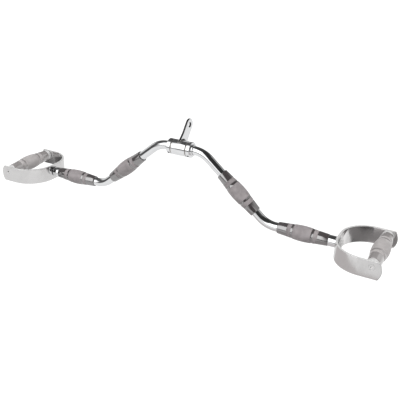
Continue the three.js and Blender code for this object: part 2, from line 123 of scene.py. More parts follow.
class BarSizes(PropertyGroup):
    """Sizes of the bent bar."""

    radius: length("Bar radius", "Half the diameter of the round bar", 0.0127)
    first_corner: length(
        "First corner", "From the hub's middle to the first bend's corner", 0.07037)
    bend_angle: angle("Bend angle", "How far each bend turns", 40)
    bend_radius: length("Bend radius", "Radius of each bend on the bar's axis", 0.073)
    bend_steps: count("Bend steps", "Divisions along each bend", 28)
    sides: count("Sides", "Divisions round the bar and the turned pieces", 96)


class GripSizes(PropertyGroup):
    """Sizes of the rubber grips."""

    bore: length("Bore", "Radius of the hole through every grip", 0.0130)
    end_wall: length("End wall", "Rubber over the bore at a bar grip's end", 0.0029)
    cuff_wall: length("Cuff wall", "Rubber over the bore beside a bar grip's groove", 0.0053)
    barrel_wall: length("Barrel wall", "Rubber over the bore at a bar grip's middle", 0.0087)
    handle_end_wall: length("Handle end wall", "The same at a stirrup handle's end", 0.0040)
    handle_cuff_wall: length("Handle cuff wall", "The same beside its groove", 0.0062)
    handle_barrel_wall: length("Handle barrel wall", "The same at its middle", 0.0102)
    cuff_share: share("Cuff share", "Length of one cuff as a share of the grip", 0.205)
    groove_width: length("Groove width", "Width of the groove between cuff and barrel", 0.0022)
    groove_depth: length("Groove depth", "Depth of that groove", 0.0009)
    groove_ease: length("Groove easing", "Rounding of the groove's edges", 0.0005)
    ring_offset: length("Ring offset", "From the groove to the glossy ring", 0.0125)
    ring_width: length("Ring width", "Width of the glossy ring at a barrel's end", 0.0060)
    ring_depth: length("Ring depth", "How far the glossy ring lies below the barrel", 0.0004)
    rim: length("Rim rounding", "Rounding of a grip's outer ends", 0.0013)
    barrel_steps: count("Barrel steps", "Divisions along half a barrel", 26)


class HangerSizes(PropertyGroup):
    """Sizes of the revolving hanger and its collars."""

    lean: angle("Lean", "How far the eye plate leans back from upright", 38)
    sleeve_half: length("Sleeve half length", "Half the length of the revolving sleeve", 0.0225)
    sleeve_bore: length("Sleeve bore", "Radius of the sleeve's hole", 0.0163)
    sleeve_radius: length("Sleeve radius", "Outside radius of the sleeve", 0.0221)
    sleeve_ease: length("Sleeve easing", "Rounding of the sleeve's ends", 0.0012)
    bush_bore: length("Bush bore", "Radius of the hole in each bush", 0.0130)
    bush_radius: length("Bush radius", "Radius of a bush inside the sleeve", 0.0160)
    bush_flange: length("Bush flange", "Radius of a bush's flange", 0.0200)
    bush_start: length("Bush start", "From the middle to a bush's inner end", 0.0045)
    flange_start: length("Flange start", "From the middle to a bush's flange", 0.0228)
    flange_end: length("Flange end", "From the middle to a flange's outer face", 0.0248)
    eye_height: length("Eye height", "From the bar's axis to the eye's middle", 0.0716)
    eye_radius: length("Eye radius", "Radius of the plate's rounded top", 0.0175)
    hole_radius: length("Hole radius", "Radius of the eye's hole", 0.0070)
    plate_thickness: length("Plate thickness", "Thickness of the eye plate", 0.0060)
    plate_ease: length("Plate easing", "Rounding of the plate's edges", 0.0009)
    base_angle: angle("Base angle", "How far round the sleeve the plate's foot reaches", 70)
    toe: length("Toe", "Height of the blunt end of the plate's foot", 0.0025)
    flare_share: share("Flare share", "How high the foot's sweep rises", 0.55)
    weld_leg: length("Weld leg", "Leg of the fillet weld", 0.0045)
    weld_pitch: length("Weld pitch", "Distance between the weld's ripples", 0.0016)


class CollarSizes(PropertyGroup):
    """Sizes of the retaining collars and their grub screws."""

    start: length("Collar start", "From the hub's middle to a collar's inner face", 0.0251)
    flange_end: length("Flange end", "From the hub's middle to the flange's outer face", 0.0366)
    end: length("Collar end", "From the hub's middle to the boss's end", 0.0426)
    bore: length("Collar bore", "Radius of the hole", 0.0130)
    radius: length("Collar radius", "Radius of the flange", 0.0221)
    boss: length("Boss radius", "Radius of the boss", 0.0160)
    ease: length("Collar easing", "Rounding of a collar's edges", 0.0012)
    grub_radius: length("Grub radius", "Radius of a grub screw", 0.0030)
    grub_hole: length("Grub hole", "Radius of a grub screw's hole", 0.0033)
    grub_socket: length("Grub socket", "Corner radius of a grub screw's hexagon", 0.0017)
    grub_socket_depth: length("Grub socket depth", "Depth of that hexagon", 0.0025)
    grub_spread: angle("Grub spread", "Angle between a collar's two grub screws", 100)


class SwivelSizes(PropertyGroup):
    """Sizes of the swivel at each end of the bar, measured from the bar's end face."""

    boss_length: length("Boss length", "Length of the chromed boss over the bar's end", 0.0206)
    boss_bore: length("Boss bore", "Radius of the boss's hole", 0.0130)
    boss_radius: length("Boss radius", "Outside radius of the boss", 0.0150)
    boss_ease: length("Boss easing", "Rounding of the boss's edges", 0.0010)
    washer_bore: length("Washer bore", "Radius of both washers' holes", 0.0073)
    washer_radius: length("Washer radius", "Outside radius of both washers", 0.0140)
    washer_start: length("Washer start", "To the nylon washer", 0.0003)
    washer_thickness: length("Washer thickness", "Thickness of both washers", 0.0016)
    inner_washer_start: length(
        "Inner washer start", "To the steel washer inside the strap", 0.0085)
    shoulder_radius: length("Shoulder radius", "Radius of the bolt's shoulder", 0.0070)
    head_start: length("Head start", "To the bolt's head", 0.0104)
    head_radius: length("Head radius", "Radius of the bolt's head", 0.0120)
    head_height: length("Head height", "Height of the bolt's head", 0.0070)
    head_rim: length("Head rim", "Height of the head's straight side", 0.0024)
    socket_radius: length("Socket radius", "Corner radius of the head's hexagon", 0.0046)
    socket_depth: length("Socket depth", "Depth of that hexagon", 0.0040)


class StrapSizes(PropertyGroup):
    """Sizes of the stirrup straps, measured from the bar's end face."""

    start: length("Strap start", "To the strap's outer face at its base", 0.0022)
    width: length("Width", "Width of the flat bar", 0.0480)
    thickness: length("Thickness", "Thickness of the flat bar", 0.0060)
    flat_half: length("Half flat", "Half the straight stretch of the base", 0.0160)
    corner_radius: length("Corner radius", "Outside radius of each corner", 0.0800)
    tip: length("Tip", "To the middle of an arm's crowned tip", 0.1375)
    bulge: length("Tip bulge", "How far the tip's crown stands past its corners", 0.0076)
    ease: length("Edge easing", "Rounding of the strap's edges", 0.0009)
    pivot_hole: length("Pivot hole", "Radius of the hole at the base", 0.0100)
    screw_hole: length("Screw hole", "Radius of the hole in each arm", 0.0043)
    countersink: length("Countersink", "Radius of the countersink at the surface", 0.0081)
    countersink_depth: length("Countersink depth", "Depth of the countersink", 0.00372)
    corner_steps: count("Corner steps", "Divisions along each corner", 40)
    arm_steps: count("Arm steps", "Divisions along each arm", 10)
    face_steps: count("Face steps", "Divisions across the strap", 20)
    ease_steps: count("Edge steps", "Divisions of each rounded edge", 4)


class HandleSizes(PropertyGroup):
    """Sizes of the ferrules and screws of the stirrup handles."""

    grip_half: length("Grip half length", "Half the length of a handle's rubber", 0.0779)
    ferrule_inner: length("Ferrule start", "From the middle to a ferrule's inner face", 0.0782)
    ferrule_outer: length("Ferrule end", "From the middle to a ferrule's outer face", 0.0892)
    ferrule_bore: length("Ferrule bore", "Radius of a ferrule's hole", 0.0083)
    ferrule_radius: length("Ferrule radius", "Outside radius of a ferrule", 0.0161)
    ferrule_ease: length("Ferrule rounding", "Rounding of a ferrule's outer edge", 0.0017)
    spigot_radius: length("Spigot radius", "Radius of the spigot inside the tube", 0.0101)
    spigot_length: length("Spigot length", "Length of that spigot", 0.0140)
    span_half: length("Half span", "Half the distance across the strap's outer faces", 0.0960)
    screw_length: length("Screw length", "Length of a countersunk screw", 0.0220)
    screw_radius: length("Screw radius", "Radius of its shank", 0.0040)
    screw_head: length("Screw head", "Radius of its head", 0.0078)
    screw_cone: length("Screw cone", "Depth of its head", 0.00372)
    screw_socket: length("Screw socket", "Corner radius of its hexagon", 0.0029)
    screw_socket_depth: length("Screw socket depth", "Depth of that hexagon", 0.0026)


class Finishes(PropertyGroup):
    """Colours and gloss of the finishes."""

    chrome: colour("Chrome", "Colour of the plating", (0.86, 0.865, 0.875))
    chrome_roughness: share("Chrome roughness", "Blur of the plating's reflections", 0.045)
    satin: colour("Satin plate", "Colour of the straps", (0.75, 0.742, 0.74))
    satin_roughness: share("Satin roughness", "Blur of the straps' reflections", 0.10)
    # Pale dull colour on the straps' rounded edges: a painted highlight.
    pale_edge_highlight: colour(
        "Ground edge", "Colour of the straps' dull ground edges", (0.86, 0.855, 0.85))
    rubber: colour("Rubber", "Colour of the grained barrels", (0.292, 0.266, 0.271))
    rubber_worn: colour(
        "Worn rubber", "Colour where hands have polished the barrels", (0.394, 0.360, 0.366))
    cuff: colour("Cuff", "Colour of the smooth cuffs and rings", (0.070, 0.060, 0.062))
    cuff_roughness: share("Cuff roughness", "Blur of the cuffs' own gloss", 0.20)
    cuff_coat_roughness: share("Cuff skin roughness", "Blur of the cuffs' polished skin", 0.06)
    barrel_roughness: share("Barrel roughness", "Gloss of the grained barrels", 0.50)
    handle_rubber: colour("Handle rubber", "Colour of the stirrup handles", (0.46, 0.434, 0.43))
    handle_worn: colour(
        "Worn handle rubber", "Colour where hands have polished the handles", (0.56, 0.532, 0.528))
    handle_cuff: colour("Handle cuff", "Colour of the handles' smooth cuffs", (0.38, 0.356, 0.353))
    # Pale matte white on the chromed ferrules, the bolt heads and the steel washers: a painted
    # reflection of bright surroundings in place of plating.
    ferrule: colour("Ferrule", "Colour of the handles' pale end rings", (0.90, 0.895, 0.89))
    # Near-black colour on the eye plate's edges and the wall of its hole, beside the plated faces.
    dark_plate_edge: colour("Cut edge", "Colour of the eye plate's dark cut edge", (0.035, 0.034, 0.034))
    weld: colour("Weld", "Colour of the plated weld beads", (0.36, 0.355, 0.35))
    bronze: colour("Bronze", "Colour of the bushes", (0.68, 0.64, 0.59))
    nylon: colour("Nylon", "Colour of the washers in the swivels", (0.018, 0.018, 0.02))
    steel: colour("Dark steel", "Colour of the blackened screws and rods", (0.11, 0.11, 0.115))


class Studio(PropertyGroup):
    """Camera and stage."""

    focal_pixels: FloatProperty(
        name="Focal length", description="Focal length in the photograph's pixels",
        default=592.7)
    azimuth: angle("Azimuth", "Camera's turn from the lifter's side", 27.5)
    elevation: angle("Elevation", "Camera's height above level", 24.55)
    roll: angle("Roll", "Camera's turn about its own axis", 1.64)
    distance: length("Distance", "From the aim point to the camera", 1.7037)
    aim_x: FloatProperty(
        name="Aim X", description="Aim point from the hub, along X", default=0.0649)
    aim_z: FloatProperty(
        name="Aim Z", description="Aim point from the hub, along Z", default=-0.1462)
    floor_height: FloatProperty(
        name="Floor height", description="Height of the floor under the hung bar", default=-0.42)


class LatBarSettings(PropertyGroup):
    """All settings of the lat bar."""

    bar: PointerProperty(type=BarSizes)
    grips: PointerProperty(type=GripSizes)
    hanger: PointerProperty(type=HangerSizes)
    collars: PointerProperty(type=CollarSizes)
    swivels: PointerProperty(type=SwivelSizes)
    straps: PointerProperty(type=StrapSizes)
    handles: PointerProperty(type=HandleSizes)
    finishes: PointerProperty(type=Finishes)
    studio: PointerProperty(type=Studio)


# Places

def hub_place(turn=0.0):
    """Place of the hub, facing the right end or turned to the left one."""
    return Matrix.Translation(HUB) @ Matrix.Rotation(turn, 4, "Z")


def end_place(turn):
    """Place of the bar's end face, with X pointing out of the end."""
    foot = Vector((BAR_END.x * math.cos(turn), BAR_END.y, BAR_END.z))
    return Matrix.Translation(foot) @ Matrix.Rotation(turn, 4, "Z")


def handle_place(turn):
    """Place of a stirrup handle's middle, with X pointing along the handle."""
    across = Matrix.Rotation(QUARTER, 4, "Z")
    return end_place(turn) @ Matrix.Translation(HANDLE_AXIS - BAR_END) @ across


def arm_places(turn):
    """Places of a stirrup handle's middle, with X pointing to the back and the front arm."""
    return [handle_place(turn) @ Matrix.Rotation(flip, 4, "Z") for flip in ARMS.values()]


# Mesh helpers

def eased(corners, closed, steps=5):
    """Rounds the corners of an outline of (along, radius[, rounding]) points."""
    points = [Vector(corner[:2]) for corner in corners]
    rounding = [corner[2] if len(corner) > 2 else 0.0 for corner in corners]
    outline = []
    for index, point in enumerate(points):
        is_end = not closed and index in (0, len(points) - 1)
        if is_end or rounding[index] == 0.0:
            outline.append(point)
            continue
        before = (points[index - 1] - point).normalized()
        after = (points[(index + 1) % len(points)] - point).normalized()
        half = before.angle(after) / 2
        reach = rounding[index] / math.tan(half)
        centre = point + (before + after).normalized() * rounding[index] / math.sin(half)
        start = point + before * reach - centre
        sweep = start.angle_signed(point + after * reach - centre)
        for step in range(steps + 1):
            turn = -sweep * step / steps
            outline.append(centre + Matrix.Rotation(turn, 2) @ start)
    return [tuple(point) for point in outline]


def new_piece(name, mesh, body=None):
    """Links a mesh to the scene as a named piece, riding on a body if one is given."""
    piece = bpy.data.objects.new(name, mesh)
    bpy.context.scene.collection.objects.link(piece)
    if body:
        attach(piece, body)
    return piece


def finish_mesh(graph, name, place=None):
    """Turns an edited mesh into a smooth one that remembers its unplaced coordinates."""
    bmesh.ops.recalc_face_normals(graph, faces=graph.faces)
    mesh = bpy.data.meshes.new(name)
    graph.to_mesh(mesh)
    graph.free()
    rest = mesh.attributes.new(PATTERN, "FLOAT_VECTOR", "POINT")
    rest.data.foreach_set("vector", [value for vertex in mesh.vertices for value in vertex.co])
    if place is not None:
        mesh.transform(place)
    smooth(mesh)
    return mesh


def smooth(mesh):
    """Shades a mesh smooth except over its hard edges."""
    mesh.polygons.foreach_set("use_smooth", [True] * len(mesh.polygons))
    mesh.set_sharp_from_angle(angle=SMOOTH_ANGLE)


def turned(name, profile, place, sides, closed=True):
    """Turns a profile about X. A closed profile makes a ring, an open one a solid round."""
    graph = bmesh.new()
    turns = [math.tau * side / sides for side in range(sides)]
    rings = []
    for along, radius in profile:
        if radius < ON_AXIS:
            rings.append([graph.verts.new((along, 0.0, 0.0))])
        else:
            rings.append([
                graph.verts.new((along, radius * math.cos(turn), radius * math.sin(turn)))
                for turn in turns])
    for low, high in zip(rings, rings[1:] + rings[:1] if closed else rings[1:]):
        for side in range(sides):
            corners = dict.fromkeys((
                low[side % len(low)], low[(side + 1) % len(low)],
                high[(side + 1) % len(high)], high[side % len(high)]))
            if len(corners) > 2:
                graph.faces.new(list(corners))
    return finish_mesh(graph, name, place)


def bridge(graph, pairs):
    """Joins pairs of rings that have as many points as each other."""
    for low, high in pairs:
        for index, spot in enumerate(low):
            after = (index + 1) % len(low)
            graph.faces.new((spot, low[after], high[after], high[index]))


def discard(piece):
    """Removes a helper object and its data."""
    data = piece.data
    bpy.data.objects.remove(piece)
    if isinstance(data, bpy.types.Mesh):
        bpy.data.meshes.remove(data)
    else:
        bpy.data.curves.remove(data)


def applied(piece, *tools):
    """Plain mesh of a piece with its modifiers applied. The piece and its tools are removed."""
    name = piece.data.name
    bpy.context.view_layer.update()
    depsgraph = bpy.context.evaluated_depsgraph_get()
    mesh = bpy.data.meshes.new_from_object(
        piece.evaluated_get(depsgraph), preserve_all_data_layers=True, depsgraph=depsgraph)
    for helper in (piece, *tools):
        discard(helper)
    mesh.name = name
    return mesh


def drilled(mesh, cutters):
    """Cuts a list of meshes out of a mesh."""
    blank = new_piece("blank", mesh)
    tools = [new_piece("cutter", cutter) for cutter in cutters]
    for tool in tools:
        modifier = blank.modifiers.new("Cut", "BOOLEAN")
        modifier.operation = "DIFFERENCE"
        modifier.solver = "EXACT"
        modifier.object = tool
    result = applied(blank, *tools)
    smooth(result)
    return result


def weighted(mesh):
    """Gives flat faces flat shading beside their rounded edges."""
    helper = new_piece("weighting", mesh)
    helper.modifiers.new("Weights", "WEIGHTED_NORMAL").keep_sharp = True
    return applied(helper)


def dressed(name, mesh, body, material, slot, *nodes):
    """Makes a finished piece that rides on a body and stands for CAD nodes."""
    mesh.materials.clear()
    mesh.materials.append(material)
    piece = new_piece(name, mesh, body)
    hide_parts(*nodes)


def refinished(node, material):
    """Gives a CAD node that stays in sight a detailed material."""
    mesh = frame["nodes"][node].data
    mesh.materials.clear()
    mesh.materials.append(material)


def round_cutter(place, start, end, radius, sides):
    """A plain round cutter along X."""
    profile = [(start, 0.0), (start, radius), (end, radius), (end, 0.0)]
    return turned("round_cutter", profile, place, sides, closed=False)


def hexagon_cutter(place, end, depth, corner_radius):
    """Cutter for a hexagon socket that opens at an end face."""
    return round_cutter(place, end - depth, end + OVERRUN, corner_radius, sides=6)


# Node helpers

def add_node(tree, kind, inputs=(), **settings):
    """Adds a node with its settings and its unlinked inputs."""
    node = tree.nodes.new(kind)
    for key, value in settings.items():
        setattr(node, key, value)
    for key, value in dict(inputs).items():
        if isinstance(value, bpy.types.NodeSocket):
            tree.links.new(value, node.inputs[key])
        else:
            node.inputs[key].default_value = value
    return node


def calculated(tree, operation, *values):
    """Result of a Math node on sockets and numbers."""
    node = add_node(tree, "ShaderNodeMath", dict(enumerate(values)), operation=operation)
    return node.outputs["Value"]


def ranged(tree, value, low, high, start=0.0, end=1.0):
    """Goes from low to high as a value goes from start to end."""
    node = add_node(tree, "ShaderNodeMapRange", {
        "Value": value, "From Min": start, "From Max": end, "To Min": low, "To Max": high})
    return node.outputs["Result"]


def mixed(tree, mask, first, second):
    """A colour that goes from the first to the second over a mask."""
    # A Mix node has a set of sockets for each kind of data. These are the ones for colours.
    factor, first_colour, second_colour, result = 0, 6, 7, 2
    mix = add_node(tree, "ShaderNodeMix", data_type="RGBA")
    tree.links.new(mask, mix.inputs[factor])
    for index, value in ((first_colour, first), (second_colour, second)):
        if isinstance(value, bpy.types.NodeSocket):
            tree.links.new(value, mix.inputs[index])
        else:
            mix.inputs[index].default_value = (*value, 1.0)
    return mix.outputs[result]


def tinted(tree, shader, mask, first, second):
    """Varies the base colour between two colours over a mask."""
    tree.links.new(mixed(tree, mask, first, second), shader.inputs["Base Color"])


def bumped(tree, shader, height, strength, distance):
    """Feeds a height into the shader's normal."""
    bump = add_node(tree, "ShaderNodeBump", {
        "Strength": strength, "Distance": distance, "Height": height})
    tree.links.new(bump.outputs["Normal"], shader.inputs["Normal"])


def object_coordinates(tree):
    """Coordinates in the frame's own metres."""
    return tree.nodes.new("ShaderNodeTexCoord").outputs["Object"]


def pattern_coordinates(tree):
    """Coordinates of a piece before it was placed, with X along its axis."""
    node = add_node(tree, "ShaderNodeAttribute", attribute_name=PATTERN)
    return node.outputs["Vector"]


def scaled_colour(value, factor):
    """A colour made lighter or darker."""
    return tuple(min(1.0, channel * factor) for channel in value)


def shader_group(name, inputs, outputs):
    """An empty shader node group with its named sockets."""
    group = bpy.data.node_groups.new(name, "ShaderNodeTree")
    for label, default in inputs:
        socket = group.interface.new_socket(label, in_out="INPUT", socket_type=(
            "NodeSocketVector" if default is None else "NodeSocketFloat"))
        if default is not None:
            socket.default_value = default
    for label in outputs:
        group.interface.new_socket(label, in_out="OUTPUT", socket_type="NodeSocketFloat")
    return group, group.nodes.new("NodeGroupInput"), group.nodes.new("NodeGroupOutput")


def placed(tree, group, inputs):
    """Places a shader node group with its own values."""
    return add_node(tree, "ShaderNodeGroup", inputs, node_tree=group)


# Patterns and masks

def grain_group():
    """Pebbled grain of a moulded or blasted surface, as a height."""
    group, given, result = shader_group(
        "Pebble grain", [("Vector", None), ("Scale", 900.0), ("Fine Share", 0.35)], ["Height"])
    cells = add_node(group, "ShaderNodeTexVoronoi", {
        "Vector": given.outputs["Vector"], "Scale": given.outputs["Scale"],
        "Smoothness": 0.6}, feature="SMOOTH_F1")
    finer = calculated(group, "MULTIPLY", given.outputs["Scale"], 2.7)
    noise = add_node(group, "ShaderNodeTexNoise", {
        "Vector": given.outputs["Vector"], "Scale": finer, "Detail": 3.0})
    fine = calculated(group, "MULTIPLY", noise.outputs["Fac"], given.outputs["Fine Share"])
    height = calculated(group, "ADD", cells.outputs["Distance"], fine)
    group.links.new(height, result.inputs["Height"])
    return group


def marks_group():
    """Soft cloudy marks from handling, as a value between two limits and as a mask."""
    group, given, result = shader_group(
        "Handling marks",
        [("Vector", None), ("Scale", 30.0), ("Low", 0.0), ("High", 1.0)], ["Value", "Mask"])
    noise = add_node(group, "ShaderNodeTexNoise", {
        "Vector": given.outputs["Vector"], "Scale": given.outputs["Scale"],
        "Detail": 5.0, "Roughness": 0.62, "Distortion": 0.4})
    clouds = {"Value": noise.outputs["Fac"], "From Min": 0.35, "From Max": 0.68}
    limits = {"To Min": given.outputs["Low"], "To Max": given.outputs["High"]}
    for label, inputs in (("Value", {**clouds, **limits}), ("Mask", clouds)):
        ramp = add_node(
            group, "ShaderNodeMapRange", inputs, interpolation_type="SMOOTHSTEP")
        group.links.new(ramp.outputs["Result"], result.inputs[label])
    return group


def hairline_group():
    """Hairlines that run along X, as a height."""
    group, given, result = shader_group(
        "Hairlines", [("Vector", None), ("Along", 12.0), ("Across", 1400.0)], ["Height"])
    stretch = add_node(group, "ShaderNodeCombineXYZ", {
        "X": given.outputs["Along"], "Y": given.outputs["Across"],
        "Z": given.outputs["Across"]})
    scaled = add_node(group, "ShaderNodeVectorMath", {
        0: given.outputs["Vector"], 1: stretch.outputs[0]}, operation="MULTIPLY")
    noise = add_node(group, "ShaderNodeTexNoise", {
        "Vector": scaled.outputs[0], "Scale": 1.0, "Detail": 4.0, "Roughness": 0.7})
    group.links.new(noise.outputs["Fac"], result.inputs["Height"])
    return group


def distance_from(tree, value, middle):
    """How far a value is from a middle."""
    return calculated(tree, "ABSOLUTE", calculated(tree, "SUBTRACT", value, middle))


def band_mask(tree, place, axis, middle, half, soft=0.0006):
    """Nothing within a half width of a middle along one axis, one beyond it."""
    axes = add_node(tree, "ShaderNodeSeparateXYZ", {0: place})
    away = distance_from(tree, axes.outputs[axis], middle)
    return ranged(tree, away, 0.0, 1.0, half - soft, half + soft)


def smooth_mask(tree, place, groove, grips):
    """One over a grip's smooth cuffs and glossy rings, nothing over its barrel and grooves."""
    cuffs = band_mask(tree, place, "X", 0.0, groove + grips.groove_width)
    axes = add_node(tree, "ShaderNodeSeparateXYZ", {0: place})
    along = calculated(tree, "ABSOLUTE", axes.outputs["X"])
    away = distance_from(tree, along, groove - grips.ring_offset)
    half_ring = grips.ring_width / 2
    fade_outside, fade_inside = 0.0009, 0.0006
    ring = ranged(tree, away, 0.0, 1.0, half_ring + fade_outside, half_ring - fade_inside)
    return calculated(tree, "MAXIMUM", cuffs, ring)


# Finishes

def new_finish(name, **shader_inputs):
    """A material with a Principled shader and its uniform values set on the sockets."""
    material = bpy.data.materials.new(name)
    material.use_nodes = True
    tree = material.node_tree
    shader = tree.nodes["Principled BSDF"]
    for key, value in shader_inputs.items():
        socket = shader.inputs[key.replace("_", " ")]
        socket.default_value = (*value, 1.0) if key.endswith("Color") else value
    return material, tree, shader


def plating(name, finishes, groups):
    """Bright plating with faint smears, a slight waviness and a few hairlines.

    Gives the material, its tree, its shader and the plating's colour, not yet linked.
    """
    material, tree, shader = new_finish(
        name, Base_Color=tuple(finishes.chrome), Metallic=1.0)
    place = object_coordinates(tree)
    low = finishes.chrome_roughness
    marks = placed(tree, groups["marks"], {
        "Vector": place, "Scale": 42.0, "Low": low, "High": low * 2.2})
    tree.links.new(marks.outputs["Value"], shader.inputs["Roughness"])
    lines = placed(tree, groups["hairlines"], {"Vector": place, "Along": 60.0, "Across": 900.0})
    bumped(tree, shader, lines.outputs["Height"], strength=0.035, distance=0.00006)
    tint = mixed(tree, marks.outputs["Mask"], finishes.chrome,
                 scaled_colour(finishes.chrome, factor=0.965))
    return material, tree, shader, tint


def make_chrome(finishes, groups):
    """The plating of the bar, the hanger and the bosses."""
    material, tree, shader, tint = plating("chrome_plate", finishes, groups)
    tree.links.new(tint, shader.inputs["Base Color"])
    return material


def make_eye_plate(finishes, groups, half_thickness):
    """The plating of the eye plate's faces, with a near-black colour on the edges round them."""
    material, tree, shader, tint = plating("eye_plate_chrome", finishes, groups)
    soft = 0.0001
    face = band_mask(tree, object_coordinates(tree), "X", 0.0, half_thickness - soft, soft)
    # The edges round the plate's faces and the hole's wall take the near-black colour.
    tinted(tree, shader, face, finishes.dark_plate_edge, tint)
    return material


def make_satin(finishes, groups, middle, half_width):
    """Satin plating, finely blasted, with soft cloudy variation and pale dull edges: a painted
    highlight along the rounded edges.
    """
    material, tree, shader = new_finish("satin_plate")
    place = object_coordinates(tree)
    low = finishes.satin_roughness
    marks = placed(tree, groups["marks"], {
        "Vector": place, "Scale": 26.0, "Low": low, "High": low * 1.4})
    # The rounded edges turn pale, dull and less metallic: a painted highlight along them.
    edge_band = 0.0004
    edge = band_mask(tree, place, "Z", middle, half_width - edge_band)
    plate = mixed(tree, marks.outputs["Mask"], finishes.satin,
                  scaled_colour(finishes.satin, factor=0.94))
    tinted(tree, shader, edge, plate, finishes.pale_edge_highlight)
    edge_roughness, edge_metal = 0.55, 0.15
    tree.links.new(
        ranged(tree, edge, marks.outputs["Value"], edge_roughness), shader.inputs["Roughness"])
    tree.links.new(ranged(tree, edge, 1.0, edge_metal), shader.inputs["Metallic"])
    grain = placed(tree, groups["grain"], {"Vector": place, "Scale": 2600.0, "Fine Share": 0.5})
    bumped(tree, shader, grain.outputs["Height"], strength=0.025, distance=0.00008)
    return material


def make_rubber(name, settings, groups, groove, colours):
    """Moulded rubber: glossy cuffs and rings, and a pebbled barrel polished by hands."""
    finishes = settings.finishes
    barrel_colour, worn_colour, cuff_colour = colours
    material, tree, shader = new_finish(
        name, Coat_Roughness=finishes.cuff_coat_roughness, Coat_IOR=2.9, IOR=1.6)
    place = pattern_coordinates(tree)
    skin = smooth_mask(tree, place, groove, settings.grips)
    marks = placed(tree, groups["marks"], {"Vector": place, "Scale": 38.0})
    barrel = mixed(tree, marks.outputs["Mask"], barrel_colour, worn_colour)
    tinted(tree, shader, skin, barrel, cuff_colour)
    tree.links.new(skin, shader.inputs["Coat Weight"])
    polish = 0.08
    rough = calculated(
        tree, "SUBTRACT",
        ranged(tree, skin, finishes.barrel_roughness, finishes.cuff_roughness),
        calculated(tree, "MULTIPLY", marks.outputs["Mask"], polish))
    tree.links.new(rough, shader.inputs["Roughness"])
    grain = placed(tree, groups["grain"], {"Vector": place, "Scale": 460.0, "Fine Share": 0.4})
    height = calculated(
        tree, "MULTIPLY", grain.outputs["Height"], ranged(tree, skin, 1.0, 0.0))
    bumped(tree, shader, height, strength=0.9, distance=0.001)
    return material


def make_machined(name, groups, base, metallic, roughness):
    """A machined or moulded small part with tool marks."""
    material, tree, shader = new_finish(name, Base_Color=tuple(base), Metallic=metallic)
    place = object_coordinates(tree)
    marks = placed(tree, groups["marks"], {
        "Vector": place, "Scale": 160.0, "Low": roughness, "High": roughness * 1.35})
    tree.links.new(marks.outputs["Value"], shader.inputs["Roughness"])
    tinted(tree, shader, marks.outputs["Mask"], base, scaled_colour(base, factor=0.8))
    grain = placed(tree, groups["grain"], {"Vector": place, "Scale": 3000.0, "Fine Share": 0.4})
    bumped(tree, shader, grain.outputs["Height"], strength=0.15, distance=0.00006)
    return material


def bar_grip_half():
    """Half the length of a grip on the bar."""
    low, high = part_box("outer_grip_right")
    return (high.x - low.x) / 2


def groove_middle(grips, half):
    """From a grip's middle to the middle of its groove, for half the grip's length."""
    return half * (1 - grips.cuff_share * 2) - grips.groove_width / 2


MATERIALS = {}


def finish(name):
    """A finish by name, made with all the others when the first is asked for."""
    if not MATERIALS:
        settings = bpy.context.scene.lat_bar
        finishes = settings.finishes
        grips = settings.grips
        groups = {"grain": grain_group(), "marks": marks_group(), "hairlines": hairline_group()}
        MATERIALS.update({
            "chrome": make_chrome(finishes, groups),
            "satin": make_satin(finishes, groups, BAR_END.z, settings.straps.width / 2),
            "bar_rubber": make_rubber(
                "grip_rubber", settings, groups, groove_middle(grips, bar_grip_half()),
                (finishes.rubber, finishes.rubber_worn, finishes.cuff)),
            "handle_rubber": make_rubber(
                "handle_rubber", settings, groups,
                groove_middle(grips, settings.handles.grip_half),
                (finishes.handle_rubber, finishes.handle_worn, finishes.handle_cuff)),
            "eye": make_eye_plate(finishes, groups, settings.hanger.plate_thickness / 2),
            "weld": make_machined(
                "weld_bead", groups, finishes.weld, metallic=1.0, roughness=0.3),
            # Pale matte finish: a painted white reflection on the chromed ferrules, the bolts and
            # the steel washers.
            "ferrule": make_machined(
                "pale_ferrule", groups, finishes.ferrule, metallic=0.2, roughness=0.3),
            "bronze": make_machined(
                "sintered_bronze", groups, finishes.bronze, metallic=1.0, roughness=0.42),
            "nylon": make_machined(
                "black_nylon", groups, finishes.nylon, metallic=0.0, roughness=0.5),
            "steel": make_machined(
                "blackened_steel", groups, finishes.steel, metallic=1.0, roughness=0.38),
        })
    return MATERIALS[name]


# Geometry node trees

def geometry_tree(name, inputs):
    """An empty geometry node tree with its named inputs and their identifiers."""
    tree = bpy.data.node_groups.new(name, "GeometryNodeTree")
    sockets = {
        label: tree.interface.new_socket(
            label, in_out="INPUT", socket_type=f"NodeSocket{kind}").identifier
        for label, kind in inputs.items()}
    tree.interface.new_socket(
        "Result", in_out="OUTPUT", socket_type="NodeSocketGeometry")
    return tree, sockets, tree.nodes.new("NodeGroupInput")


def end_tree(tree, geometry, material):
    """Ends a geometry node tree with real geometry in its own material."""
    whole = add_node(tree, "GeometryNodeRealizeInstances", {"Geometry": geometry})
    coated = add_node(tree, "GeometryNodeSetMaterial", {
        "Geometry": whole.outputs["Geometry"], "Material": material})
    result = tree.nodes.new("NodeGroupOutput")
    tree.links.new(coated.outputs["Geometry"], result.inputs["Result"])


def bar_tree():
    """Rounds the corners of a bent line and sweeps a circle along it."""
    tree, sockets, given = geometry_tree("Bent bar", {
        "Geometry": "Geometry", "Bend Radius": "Float", "Bend Steps": "Int",
        "Bar Radius": "Float", "Sides": "Int", "Material": "Material"})
    line = add_node(tree, "GeometryNodeMeshToCurve", {"Mesh": given.outputs["Geometry"]})
    bends = add_node(tree, "GeometryNodeFilletCurve", {
        "Curve": line.outputs["Curve"], "Radius": given.outputs["Bend Radius"],
        "Count": given.outputs["Bend Steps"]}, mode="POLY")
    section = add_node(tree, "GeometryNodeCurvePrimitiveCircle", {
        "Resolution": given.outputs["Sides"], "Radius": given.outputs["Bar Radius"]})
    sweep = add_node(tree, "GeometryNodeCurveToMesh", {
        "Curve": bends.outputs["Curve"], "Profile Curve": section.outputs["Curve"],
        "Fill Caps": True})
    end_tree(tree, sweep.outputs["Mesh"], given.outputs["Material"])
    return tree, sockets


